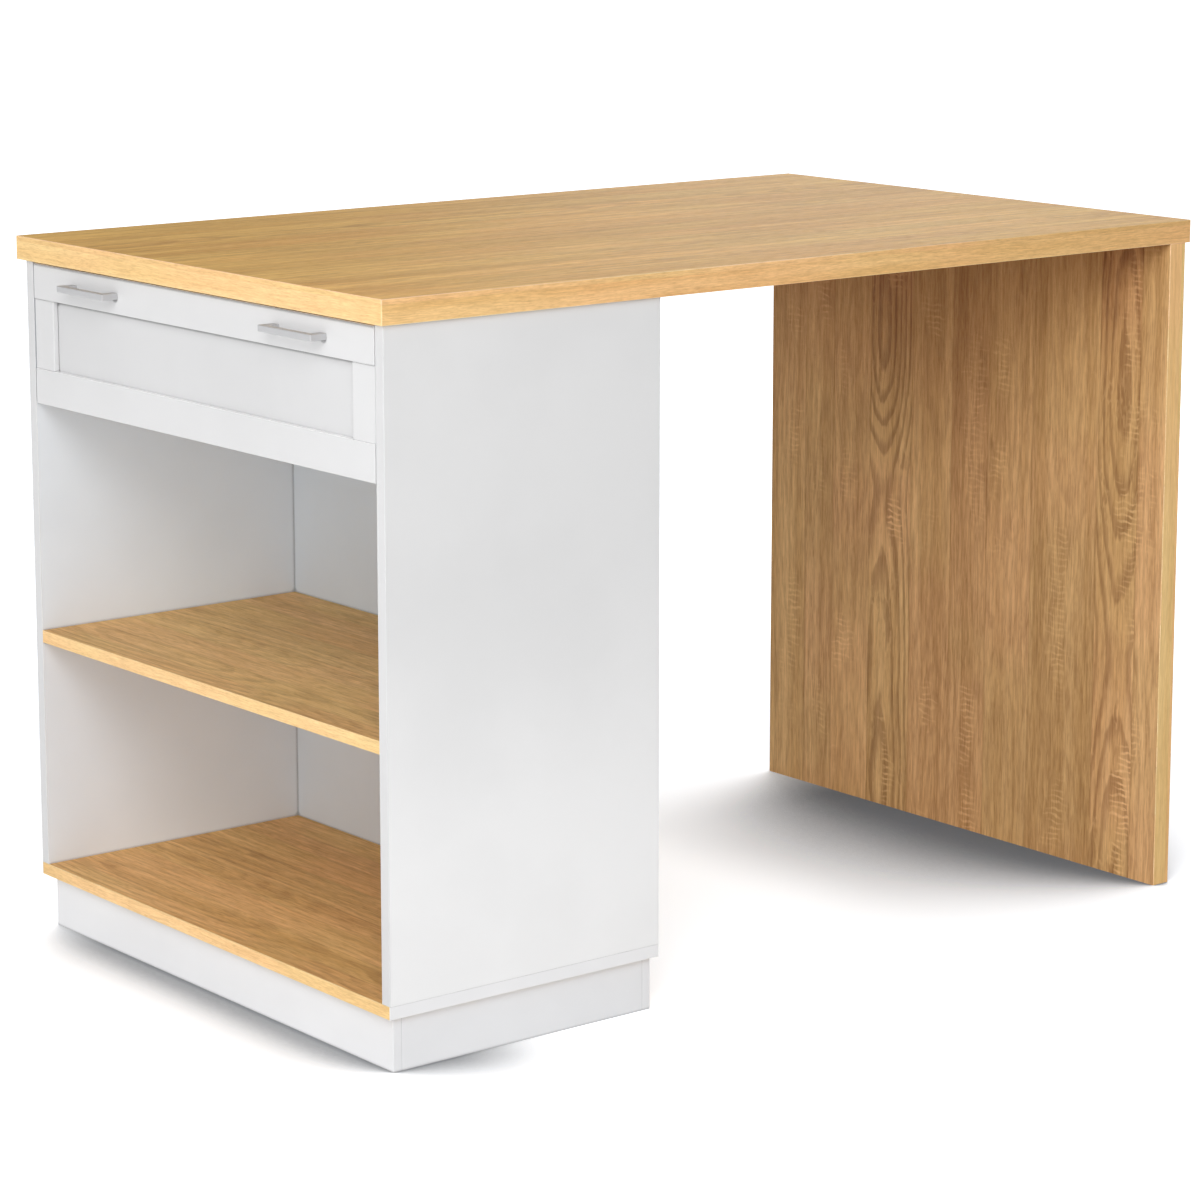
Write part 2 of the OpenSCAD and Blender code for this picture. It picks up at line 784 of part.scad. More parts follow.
module drawer_box_screws() {
    color("gainsboro") for (side = SIDES) for (x = [x_box + box_t / 2, box_x1 - box_t / 2])
        for (z = BOX_SCREWS) on_box(side, x, z) rotate([-90, 0, 0]) flush_screw(40, screw_r, 4, 2.5);
}

module drawer_front_screws() {
    color("gainsboro") for (p = FRONT_SCREWS)
        translate([x_box + box_t, p.x, p.y]) rotate([0, -90, 0]) pan_screw(box_t + 8, screw_r, 4, 2);
}

// ---- Handles ----

// Square bar on two posts, cut from one outline
module handle(y) {
    l = handle_holes + handle_post;
    x0 = x_front - handle_out;
    gap_l = handle_holes - handle_post;
    color("lightgrey") difference() {
        translate([x0, y - l / 2, handle_z - handle_bar / 2])
            linear_extrude(handle_bar) eased_rect(handle_out, l, 0.6);
        translate([x0 + handle_bar, y - gap_l / 2, handle_z - handle_bar])
            cube([handle_out, gap_l, 2 * handle_bar]);
        for (h = SIDES) translate([x_front - 9, y + h * handle_holes / 2, handle_z]) rod_x(screw_r, 10);
    }
}

module left_handle() { handle(y_mid + handle_offset); }

module right_handle() { handle(y_mid - handle_offset); }

module handle_screws() {
    color("gainsboro") for (side = SIDES) for (h = SIDES)
        translate([x_box, y_mid + side * handle_offset + h * handle_holes / 2, handle_z])
            rotate([0, -90, 0]) {
                translate([0, 0, -2.2]) cylinder(r1 = 3, r2 = 4, h = 2.2);
                translate([0, 0, -EPS]) cylinder(r = screw_r, h = handle_screw_l + EPS);
            }
}

worktop();
worktop_end_bands();
worktop_side_bands();
leg_panel();
leg_edge_bands();
leg_angle();
leg_angle_screws();
left_side_panel();
right_side_panel();
side_edge_bands();
bottom_board();
bottom_edge_band();
bottom_end_bands();
middle_shelf();
shelf_edge_band();
back_panel();
front_stretcher();
rear_stretcher();
plinth_front_board();
plinth_rear_board();
plinth_left_board();
plinth_right_board();
plinth_blocks();
plinth_screws();
carcass_dowels();
cam_bolts();
cam_locks();
carcass_screws();
worktop_screws();
runner_left_outer();
runner_right_outer();
runner_outer_screws();
ball_cage_left();
ball_cage_right();
runner_balls();
runner_left_inner();
runner_right_inner();
runner_inner_screws();
drawer_front_panel();
drawer_top_rail();
drawer_bottom_rail();
drawer_left_stile();
drawer_right_stile();
drawer_inner_front();
drawer_left_side();
drawer_right_side();
drawer_back();
drawer_bottom();
drawer_box_screws();
drawer_front_screws();
left_handle();
right_handle();
handle_screws();
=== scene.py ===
"""Kitchen island unit: the looks of every piece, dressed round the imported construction."""

import json
import logging
import math
from dataclasses import KW_ONLY, dataclass, replace
from enum import Enum
from functools import cache

import bmesh
import bpy
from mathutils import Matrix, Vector

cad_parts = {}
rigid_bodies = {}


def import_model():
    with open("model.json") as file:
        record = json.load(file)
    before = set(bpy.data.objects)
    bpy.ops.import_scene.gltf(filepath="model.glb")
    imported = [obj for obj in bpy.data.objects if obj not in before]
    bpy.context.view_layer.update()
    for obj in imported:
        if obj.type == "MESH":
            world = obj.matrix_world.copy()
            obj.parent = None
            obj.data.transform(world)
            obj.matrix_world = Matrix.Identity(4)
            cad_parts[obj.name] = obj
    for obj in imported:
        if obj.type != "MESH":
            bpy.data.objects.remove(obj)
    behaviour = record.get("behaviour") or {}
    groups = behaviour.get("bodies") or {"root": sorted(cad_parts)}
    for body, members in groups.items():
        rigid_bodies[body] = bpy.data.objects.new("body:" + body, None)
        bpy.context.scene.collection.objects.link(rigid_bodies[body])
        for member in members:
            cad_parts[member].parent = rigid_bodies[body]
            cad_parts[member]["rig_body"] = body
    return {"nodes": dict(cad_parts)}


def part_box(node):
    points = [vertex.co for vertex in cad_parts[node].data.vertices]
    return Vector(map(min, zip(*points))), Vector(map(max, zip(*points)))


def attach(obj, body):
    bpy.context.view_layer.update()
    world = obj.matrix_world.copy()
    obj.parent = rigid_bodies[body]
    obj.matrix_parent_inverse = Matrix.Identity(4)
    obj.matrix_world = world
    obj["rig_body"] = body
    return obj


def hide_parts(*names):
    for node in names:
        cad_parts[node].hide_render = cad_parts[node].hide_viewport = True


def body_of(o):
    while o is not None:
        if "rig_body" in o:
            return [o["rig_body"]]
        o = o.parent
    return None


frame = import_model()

LOG = logging.getLogger("kitchen_island")
MM = 0.001

Colour = Place = Direction = tuple[float, float, float]
Limits = tuple[float, float]
Span = tuple[Vector, Vector]
Mesh = bmesh.types.BMesh
Node = bpy.types.Node
Socket = bpy.types.NodeSocket
Feed = Socket | float | Colour
Painted = tuple[Socket, Socket, Socket]

BLACK: Colour = (0.0, 0.0, 0.0)
WHITE: Colour = (1.0, 1.0, 1.0)


class Axis(Enum):
    """A direction of the frame, and its place in a vector."""

    X = 0
    Y = 1
    Z = 2


class Side(Enum):
    """The low or the high end of a span."""

    LOW = -1
    HIGH = 1


BOTH = (Side.LOW, Side.HIGH)


# ---- Shader graphs ----


@dataclass(frozen=True)
class Noise:
    """A soft noise.

    Attributes:
        per_metre: How often it changes per metre along the grain, across it and inwards.
        detail, roughness: How many finer octaves it has, and how much each of them adds.
        limits: What becomes 0 and 1, or None for the noise as it is.
    """

    per_metre: Place
    detail: float = 2.0
    roughness: float = 0.5
    limits: Limits | None = None


class Graph:
    """A node tree that is filled from left to right."""

    STEP = 190

    def __init__(self, tree: bpy.types.NodeTree) -> None:
        """Starts on the tree of a material, a group or a world."""
        self.tree = tree

    def node(self, kind: str, *values: Feed, **settings: object) -> Node:
        """Adds a node, sets its plain properties and feeds its first inputs.

        Args:
            kind: The node's type name without "ShaderNode".
            *values: What the first inputs get.
            **settings: Properties of the node by name.

        Returns:
            The new node.
        """
        made = self.tree.nodes.new("ShaderNode" + kind)
        made.location.x = len(self.tree.nodes) * self.STEP
        for name, value in settings.items():
            setattr(made, name, value)
        for socket, value in zip(made.inputs, values):
            self.put(socket, value)
        return made

    def put(self, target: Socket, value: Feed) -> None:
        """Feeds a socket from another socket, or sets its constant.

        Args:
            target: The socket that takes the value.
            value: An output socket, a number or a tuple; a colour may leave out its alpha.
        """
        if isinstance(value, Socket):
            self.tree.links.new(value, target)
        elif target.type == "RGBA" and len(value) == 3:
            target.default_value = (*value, 1.0)
        else:
            target.default_value = value

    def math(self, operation: str, *values: Feed, clamp: bool = False) -> Socket:
        """Adds a Math node and returns its result."""
        return self.node("Math", *values, operation=operation, use_clamp=clamp).outputs[0]

    def product(self, first: Feed, second: Feed) -> Socket:
        """Multiplies two numbers."""
        return self.math("MULTIPLY", first, second)

    def spread(self, value: Socket, low: float, high: float) -> Socket:
        """Maps 0 to 1 evenly onto a range."""
        return self.math("MULTIPLY_ADD", value, high - low, low)

    def weigh(self, base: Feed, *parts: tuple[Socket, Feed]) -> Socket:
        """Adds values to a base, each times its own weight.

        Args:
            base: The base.
            *parts: The values with their weights.

        Returns:
            The sum.
        """
        for value, weight in parts:
            base = self.math("MULTIPLY_ADD", value, weight, base)
        return base

    def remap(self, value: Feed, low: float, high: float, to_low: Feed = 0.0,
              to_high: Feed = 1.0) -> Socket:
        """Maps a range smoothly onto another one.

        Args:
            value: The number to map.
            low, high: Where the output reaches to_low and to_high.
            to_low, to_high: The output's ends.

        Returns:
            The mapped number.
        """
        return self.node("MapRange", value, low, high, to_low, to_high,
                         interpolation_type="SMOOTHSTEP").outputs[0]

    def parts(self, vector: Socket) -> list[Socket]:
        """Splits a vector into its three numbers."""
        return list(self.node("SeparateXYZ", vector).outputs)

    def vector(self, x: Feed, y: Feed, z: Feed) -> Socket:
        """Joins three numbers into a vector."""
        return self.node("CombineXYZ", x, y, z).outputs[0]

    def vector_math(self, operation: str, first: Feed, second: Feed) -> Socket:
        """Adds a Vector Math node and returns its result; a number counts for all three parts."""
        return self.node("VectorMath", first, second, operation=operation).outputs[0]

    def noise(self, place: Socket, recipe: Noise) -> Socket:
        """Draws a noise.

        Args:
            place: The place, in metres.
            recipe: The noise's stretch, octaves and limits.

        Returns:
            A value from 0 to 1.
        """
        made = self.node("TexNoise")
        self.put(made.inputs["Vector"], self.vector_math("MULTIPLY", place, recipe.per_metre))
        made.inputs["Scale"].default_value = 1.0
        made.inputs["Detail"].default_value = recipe.detail
        made.inputs["Roughness"].default_value = recipe.roughness
        value = made.outputs["Fac"]
        return self.remap(value, *recipe.limits) if recipe.limits else value

    def openness(self, reach: Feed, samples: int, *facing: Socket) -> Socket:
        """How open a place is, from 0 to 1, within a reach of its normal or of another facing."""
        return self.node("AmbientOcclusion", WHITE, reach, *facing, samples=samples).outputs["AO"]

    def mix(self, factor: Feed, first: Feed, second: Feed, blend: str = "MIX") -> Socket:
        """Mixes two colours.

        Args:
            factor: 0 for the first colour, 1 for the second.
            first, second: The colours.
            blend: How the second is laid over the first.

        Returns:
            The mixed colour.
        """
        made = self.node("Mix", data_type="RGBA", blend_type=blend)
        colours = [socket for socket in made.inputs if socket.type == "RGBA"]
        for socket, value in zip((made.inputs[0], *colours), (factor, first, second)):
            self.put(socket, value)
        return next(socket for socket in made.outputs if socket.type == "RGBA")

    def tinted(self, colour: Feed, tint: Socket) -> Socket:
        """Multiplies a colour by a vector or a number."""
        return self.mix(1.0, colour, tint, "MULTIPLY")

    def effect(self, name: str, **values: Feed) -> bpy.types.NodeOutputs:
        """Places a shared node group.

        Args:
            name: The group's name.
            **values: What its inputs get, by their names.

        Returns:
            The group's outputs.
        """
        made = self.node("Group", node_tree=bpy.data.node_groups[name])
        for label, value in values.items():
            self.put(made.inputs[label], value)
        return made.outputs

    def close(self, **results: Socket) -> None:
        """Ends a group.

        Args:
            **results: The numbers that it gives, by their names.
        """
        for name in results:
            self.tree.interface.new_socket(name, in_out="OUTPUT", socket_type="NodeSocketFloat")
        leave = self.tree.nodes.new("NodeGroupOutput")
        for name, value in results.items():
            self.put(leave.inputs[name], value)


def open_group(name: str, vector: str = "Vector", **numbers: float
               ) -> tuple[Graph, dict[str, Socket]]:
    """Starts a shader node group.

    Args:
        name: The group's name.
        vector: The name of the vector that it takes.
        **numbers: The numbers that it takes, with their usual values.

    Returns:
        The group's graph, and what it takes, by name.
    """
    tree = bpy.data.node_groups.new(name, "ShaderNodeTree")
    tree.interface.new_socket(vector, in_out="INPUT", socket_type="NodeSocketVector")
    for label, usual in numbers.items():
        socket = tree.interface.new_socket(label, in_out="INPUT", socket_type="NodeSocketFloat")
        socket.default_value = usual
    entry = tree.nodes.new("NodeGroupInput")
    return Graph(tree), {socket.name: socket for socket in entry.outputs if socket.name}


# ---- Shared effects ----

# The strips of the print: their wavering borders, their tones and the seams between them.
STRIP_WAVER = Noise((1.3, 1.0, 1.0), 1.0)
STRIP_TONE = Noise((1.7, 1.0, 1.0), 1.0, limits=(0.36, 0.64))
STRIP_ROSE = Noise((2.9, 1.0, 1.0), 1.0, limits=(0.42, 0.58))
WAVER_DEPTH, ROSE_DEPTH = 4.0, 9.0
STRIP_SWAY = 6.0 * MM
LANE_STEP = 37.0
SEAM_HALF = 3.0 * MM
PLAIN_TONE = 0.6
NO_MARGIN = -9.0

# The growth rings: how the log's heart wanders behind the face, and which part of a ring is dark.
HEART_DRIFT = Noise((1.7, 1.0, 1.0), 1.0)
RING_RIPPLE = Noise((12.0, 50.0, 1.0), 3.0, 0.6)
RING_OFFSET = 7.3
HEART_DEPTH = (-0.045, 0.115)
HEART_ASIDE = (-0.035, 0.035)
RING_WOBBLE = 7.0 * MM
LATE_RISE = (0.35, 0.75)
LATE_END = (1.0, 0.85)
ARCHED = (0.55, 0.80)
FAINT_RINGS = 0.25

# The fibres: how they bend, the broad streaks, the dark flames with pale rims, and the fine layers.
FIBRE_BEND = Noise((3.0, 14.0, 14.0))
FIBRE_RIPPLE = Noise((28.0, 55.0, 55.0))
STREAKS = Noise((1.1, 34.0, 34.0), 3.0, 0.6, (0.32, 0.68))
FLAMES = Noise((8.0, 24.0, 18.0), 4.0, 0.6)
FINE_LAYERS = {"Strands": Noise((10.0, 180.0, 145.0), 2.0, 0.6, (0.30, 0.70)),
               "Fibres": Noise((30.0, 360.0, 300.0), 2.0, 0.6, (0.36, 0.64)),
               "Pores": Noise((60.0, 600.0, 520.0), 1.0, 0.6, (0.50, 0.64))}
FIBRE_OFFSET = 5.1
BEND_WIDTH = 12.0 * MM
FLAME_EDGE = (0.61, 0.66)
RIM_START = (0.575, 0.60)
RIM_END = (0.63, 0.605)

# The saw's marks: rungs that shake and fray, in a column of uneven width that shows in patches.
SAW_SHAKE = Noise((45.0, 40.0, 3.0))
SAW_FRAY = Noise((90.0, 30.0, 3.0), 1.0)
SAW_PATCH = Noise((8.0, 8.0, 40.0), 1.0, limits=(0.51, 0.64))
SHAKE_ROWS = 1.8
HALF_ROW = 0.5
RUNG = (0.20, 0.46)
COLUMN_HALF = (-0.016, 0.064)
COLUMN_EDGE = (1.0, 0.3)

# White boards and metal parts.
PEBBLE = Noise((1.0, 1.0, 1.0))
SKIN_TONE = Noise((5.0, 5.0, 5.0), 3.0)
HAIRLINES = Noise((18.0, 2400.0, 2400.0), 2.0, 0.6, (0.3, 0.7))
METAL_CLOUD = Noise((40.0, 90.0, 90.0), 3.0)
# How many rays the painted shade of corners and overhangs samples.
PAINTED_SHADE_SAMPLES = 16


class Effects:
    """The node groups that several finishes share, each built once and found by its name."""

    def build(self) -> None:
        """Builds the groups."""
        for build in (self.plank_layout, self.ring_figure, self.wood_fibre, self.saw_marks,
                      self.pressed_skin, self.drawn_lines, self.painted_shade):
            build()

    def plank_layout(self) -> None:
        """Strips of random width side by side, as the printed boards lie.

        Tone and Rose drift along each strip, Kind and Shift are random for each, Across is measured
        from the strip's middle, and Seam is 1 where two strips meet. Below Margin lies one plain
        pale strip.
        """
        graph, given = open_group("plank_layout", Width=0.08, Start=0.0, Margin=NO_MARGIN)
        along, across, _ = graph.parts(given["Vector"])
        waver = graph.noise(graph.vector(along, 0.0, WAVER_DEPTH), STRIP_WAVER)
        begun = graph.math("ADD", graph.weigh(across, (waver, STRIP_SWAY)), given["Start"])
        counted = graph.math("DIVIDE", begun, given["Width"])
        cells, joints = (graph.node("TexVoronoi", voronoi_dimensions="1D", feature=feature)
                         for feature in ("F1", "DISTANCE_TO_EDGE"))
        for strips in (cells, joints):
            graph.put(strips.inputs["W"], counted)
            graph.put(strips.inputs["Scale"], 1.0)
            graph.put(strips.inputs["Randomness"], 1.0)
        seeds = graph.node("SeparateColor", cells.outputs["Color"])
        lane_seed, kind_seed, shift_seed = seeds.outputs
        lane = graph.product(lane_seed, LANE_STEP)
        tone = graph.noise(graph.vector(along, lane, 0.0), STRIP_TONE)
        inner = graph.math("GREATER_THAN", across, given["Margin"])
        gap = graph.product(joints.outputs["Distance"], given["Width"])
        middle = graph.product(cells.outputs["W"], given["Width"])
        graph.close(Tone=graph.remap(inner, 0.0, 1.0, PLAIN_TONE, tone),
                    Rose=graph.noise(graph.vector(along, lane, ROSE_DEPTH), STRIP_ROSE),
                    Kind=graph.product(kind_seed, inner), Shift=shift_seed,
                    Across=graph.math("SUBTRACT", begun, middle),
                    Seam=graph.product(graph.remap(gap, SEAM_HALF, 0.0), inner))

    def ring_figure(self) -> None:
        """Growth rings of a log, cut lengthwise near its heart, so that they close into arches.

        Rings is 1 on the dark late wood of the strips that show arches.
        """
        graph, given = open_group("ring_figure", Across=0.0, Kind=0.5, Shift=0.5, Spacing=0.009)
        along, across, depth = graph.parts(given["Vector"])
        start = graph.math("MULTIPLY_ADD", given["Shift"], RING_OFFSET, along)
        drift = graph.noise(graph.vector(start, given["Kind"], 0.0), HEART_DRIFT)
        heart = graph.spread(drift, *HEART_DEPTH)
        off = graph.math("SUBTRACT", given["Across"], graph.spread(given["Kind"], *HEART_ASIDE))
        squares = graph.math("ADD", graph.product(off, off), graph.product(heart, heart))
        ripple = graph.noise(graph.vector(start, across, depth), RING_RIPPLE)
        radius = graph.weigh(graph.math("SQRT", squares), (ripple, RING_WOBBLE))
        turn = graph.math("FRACT", graph.math("DIVIDE", radius, given["Spacing"]))
        late = graph.product(graph.remap(turn, *LATE_RISE), graph.remap(turn, *LATE_END))
        shown = graph.remap(given["Kind"], *ARCHED, FAINT_RINGS, 1.0)
        graph.close(Rings=graph.product(late, shown))

    def wood_fibre(self) -> None:
        """What runs along the grain, from broad soft streaks to short fine pores."""
        graph, given = open_group("wood_fibre", Shift=0.0, Waver=0.001, Fineness=1.0)
        along, across, depth = graph.parts(given["Vector"])
        start = graph.math("MULTIPLY_ADD", given["Shift"], FIBRE_OFFSET, along)
        place = graph.vector(start, across, depth)
        side = graph.weigh(across, (graph.noise(place, FIBRE_BEND), BEND_WIDTH),
                           (graph.noise(place, FIBRE_RIPPLE), given["Waver"]))
        swayed = graph.vector(start, side, depth)
        flames = graph.noise(swayed, FLAMES)
        close = graph.vector_math("MULTIPLY", swayed, given["Fineness"])
        graph.close(Streaks=graph.noise(swayed, STREAKS),
                    Flames=graph.remap(flames, *FLAME_EDGE),
                    Rims=graph.product(graph.remap(flames, *RIM_START),
                                       graph.remap(flames, *RIM_END)),
                    **{name: graph.noise(close, recipe) for name, recipe in FINE_LAYERS.items()})

    def saw_marks(self) -> None:
        """Rungs of short pale marks across the grain, in patches, as a coarse saw leaves them."""
        graph, given = open_group("saw_marks", Across=0.0, Shift=0.5, Pitch=0.0088)
        along, across, _ = graph.parts(given["Vector"])
        flat = graph.vector(along, across, given["Shift"])
        beat = graph.math("DIVIDE", along, given["Pitch"])
        shaken = graph.weigh(beat, (graph.noise(flat, SAW_SHAKE), SHAKE_ROWS))
        rungs = graph.remap(graph.math("PINGPONG", shaken, HALF_ROW), *RUNG)
        width = graph.spread(graph.noise(flat, SAW_FRAY), *COLUMN_HALF)
        inside = graph.math("DIVIDE", graph.math("ABSOLUTE", given["Across"]), width)
        column = graph.product(graph.remap(inside, *COLUMN_EDGE), graph.noise(flat, SAW_PATCH))
        graph.close(Marks=graph.product(rungs, column))

    def pressed_skin(self) -> None:
        """The faint pebble of a pressed or sprayed surface, and its slow change of tone."""
        graph, given = open_group("pressed_skin", Pebble=900.0)
        fine = graph.vector_math("MULTIPLY", given["Vector"], given["Pebble"])
        graph.close(Height=graph.noise(fine, PEBBLE), Tone=graph.noise(given["Vector"], SKIN_TONE))

    def drawn_lines(self) -> None:
        """Hairlines that rolling, drawing or brushing leaves along a metal part."""
        graph, given = open_group("drawn_lines")
        graph.close(Lines=graph.noise(given["Vector"], HAIRLINES),
                    Cloud=graph.noise(given["Vector"], METAL_CLOUD))

    def painted_shade(self) -> None:
        """Painted shade: how much the surroundings shut a place in, as in a corner or under an
        overhang.

        Depth goes from 0 where the openness towards Normal, within Reach, is Open, to 1 where it is
        Shut.
        """
        graph, given = open_group("painted_shade", "Normal", Reach=0.007, Open=0.80, Shut=0.42)
        openness = graph.openness(given["Reach"], PAINTED_SHADE_SAMPLES, given["Normal"])
        graph.close(Depth=graph.remap(openness, given["Open"], given["Shut"]))


def turned(graph: Graph, along: Axis, across: Axis | None = None) -> Socket:
    """Object coordinates reordered to along the grain, across it, and into the board.

    Args:
        graph: The material's graph.
        along: The frame's axis along the grain.
        across: The axis across the grain on the piece's broad faces, or None where it has none.

    Returns:
        The reordered coordinates in metres.
    """
    if across is None:
        across = Axis.Z if along is Axis.Y else Axis.Y
    place = graph.parts(graph.node("TexCoord").outputs["Object"])
    depth = next(axis for axis in Axis if axis not in (along, across))
    return graph.vector(place[along.value], place[across.value], place[depth.value])


# ---- Finishes ----


def open_material(name: str) -> tuple[Graph, Node]:
    """Starts a material.

    Args:
        name: Its name.

    Returns:
        Its graph and its Principled BSDF.
    """
    material = bpy.data.materials.new(name)
    material.use_nodes = True
    return Graph(material.node_tree), material.node_tree.nodes["Principled BSDF"]


@dataclass(frozen=True)
class Finish:
    """What the surface of a piece is made of.

    Attributes:
        name: The material's name.
        slot: A name for the surface; not used.
        roughness: The shader's mean roughness.
        rougher: What is added to it where the surface is smoothest and roughest.
        specular, metallic: The shader's own values.
        relief: The strength and the full height of the relief.
    """

    name: str
    slot: str
    _: KW_ONLY
    roughness: float = 0.5
    rougher: Limits = (0.0, 0.0)
    specular: float = 0.5
    metallic: float = 0.0
    relief: tuple[float, float] = (0.0, 0.0)

    @cache
    def build(self) -> bpy.types.Material:
        """Builds the material at its first use.

        Returns:
            The material.
        """
        graph, shader = open_material(self.name)
        colour, worn, height = self.paint(graph)
        low, high = self.rougher
        bump = graph.node("Bump", *self.relief)
        graph.put(bump.inputs["Height"], height)
        graph.put(shader.inputs["Normal"], bump.outputs["Normal"])
        graph.put(shader.inputs["Base Color"], colour)
        graph.put(shader.inputs["Roughness"],
                  graph.spread(worn, self.roughness + low, self.roughness + high))
        shader.inputs["Specular IOR Level"].default_value = self.specular
        shader.inputs["Metallic"].default_value = self.metallic
        return bpy.data.materials[self.name]

    def paint(self, graph: Graph) -> Painted:
        """Draws the surface, each kind of finish in its own way.

        Args:
            graph: The material's graph.

        Returns:
            The colour, where it is rougher, and its height.
        """
        raise NotImplementedError


# How dark the fine layers and the seams make the print, and the mean that this takes off.
LAYER_SHADES = {"Strands": 0.9, "Fibres": 0.8, "Pores": 0.5}
SEAM_SHADE = 0.7
MEAN_SHADE = 0.5
GRAIN_RANGE = 1.6
PORE_DEPTH, FIBRE_HEIGHT = -0.7, 0.3
# Which strips show figure, the flames' strength beside the rings', and the mean of the rose.
FIGURED = (0.35, 0.65)
FLAME_SHARE = 0.6
ROSE_MEAN = 0.2
# Where the print is darker, its red falls less and its blue falls more.
RED_BY_LEVEL = (0.16, 1.0)
BLUE_BY_LEVEL = (-0.12, 1.0)


@dataclass(frozen=True)
class OakPrint(Finish):
    """A pressed oak print: strips with rings, flames and pores, a coarse saw's marks, and painted
    shade where set.
    """

    along: Axis
    across: Axis
    pale: Colour
    honey: Colour
    brown: Colour
    plank_width: float = 0.05
    start: float = 0.0
    margin: float = NO_MARGIN
    plank_contrast: float = 0.12
    rose: float = 0.10
    grain: float = 0.20
    figure: float = 0.30
    saw: float = 0.0
    waver: float = 0.001
    fineness: float = 1.0
    # The next four set painted shade: the print is darker where it is shut in from above, as under
    # the worktop.
    painted_shade: float = 0.0
    overhead: Direction = (0.0, -2.2, 1.6)
    overhead_reach: float = 0.60
    overhead_limits: Limits = (0.48, 0.12)
    _: KW_ONLY
    roughness: float = 0.52
    rougher: Limits = (0.0, 0.12)
    specular: float = 0.15
    relief: tuple[float, float] = (0.35, 0.08 * MM)

    def paint(self, graph: Graph) -> Painted:
        """Draws the print, rougher in its pores.

        Args:
            graph: The material's graph.

        Returns:
            The colour, where it is rougher, and its height.
        """
        place = turned(graph, self.along, self.across)
        planks = graph.effect("plank_layout", Vector=place, Width=self.plank_width,
                              Start=self.start, Margin=self.margin)
        fibre = graph.effect("wood_fibre", Vector=place, Shift=planks["Shift"], Waver=self.waver,
                             Fineness=self.fineness)
        wood = {socket.name: socket for part in (planks, fibre) for socket in part}
        level = self.level(graph, wood)
        warm = graph.weigh(1.0 - ROSE_MEAN * self.rose, (wood["Rose"], self.rose))
        redder = graph.product(graph.spread(level, *RED_BY_LEVEL), warm)
        bluer = graph.product(graph.spread(level, *BLUE_BY_LEVEL), warm)
        colour = graph.tinted(self.pattern(graph, place, wood), graph.vector(redder, level, bluer))
        height = graph.weigh(0.0, (wood["Pores"], PORE_DEPTH), (wood["Fibres"], FIBRE_HEIGHT))
        return colour, wood["Pores"], height

    def pattern(self, graph: Graph, place: Socket, wood: dict[str, Socket]) -> Socket:
        """The print's colour before its fine shading.

        Args:
            graph: The material's graph.
            place: The place, along and across the grain.
            wood: What the strips and the fibres give, by name.

        Returns:
            The colour.
        """
        lane = {"Vector": place, "Across": wood["Across"], "Shift": wood["Shift"]}
        rings = graph.effect("ring_figure", Kind=wood["Kind"], **lane)["Rings"]
        figured = graph.remap(wood["Kind"], *FIGURED, 0.0, self.figure * FLAME_SHARE)
        colour = graph.mix(wood["Streaks"], self.pale, self.honey)
        colour = graph.mix(graph.product(rings, self.figure), colour, self.brown)
        colour = graph.mix(graph.product(wood["Rims"], figured), colour, self.pale)
        colour = graph.mix(graph.product(wood["Flames"], figured), colour, self.brown)
        if self.saw > 0:
            marks = graph.effect("saw_marks", **lane)["Marks"]
            colour = graph.mix(graph.product(marks, self.saw), colour, self.pale)
        return colour

    def level(self, graph: Graph, wood: dict[str, Socket]) -> Socket:
        """How light the print is, about 1 on the average, times the painted shade under an overhang
        where that is set.

        Args:
            graph: The material's graph.
            wood: What the strips and the fibres give, by name.

        Returns:
            The factor for the pattern's colour.
        """
        level = graph.weigh(
            1.0 + MEAN_SHADE * (GRAIN_RANGE * self.grain + self.plank_contrast),
            *((wood[name], -shade * self.grain) for name, shade in LAYER_SHADES.items()),
            (wood["Tone"], -self.plank_contrast), (wood["Seam"], -SEAM_SHADE * self.plank_contrast))
        # Painted shade: the print darkens where the surroundings shut it in from overhead.
        if self.painted_shade == 0:
            return level
        normal = graph.node("NewGeometry").outputs["Normal"]
        open_above, shut_above = self.overhead_limits
        depth = graph.effect("painted_shade", Normal=graph.vector_math("ADD", normal, self.overhead),
                             Reach=self.overhead_reach, Open=open_above, Shut=shut_above)["Depth"]
        return graph.product(level, graph.weigh(1.0, (depth, -self.painted_shade)))


# Which faces of a white board look up, for painted light, or aside, for less painted shade, the
# floorward range of the painted light on the outer colour, the slow clouds of its tone, and how
# fast the painted shade in corners gives way where a face takes painted light.
UPTURNED = (0.2, 0.7)
SIDEWAYS = (0.9, 0.3)
PAINTED_FOOT_LIGHT_HEIGHTS = (0.62, 0.12)
CLOUD = (0.35, 0.65)
CLOUD_TONES = (0.965, 1.0)
PAINTED_SHADE_BY_LIFT = -3.0


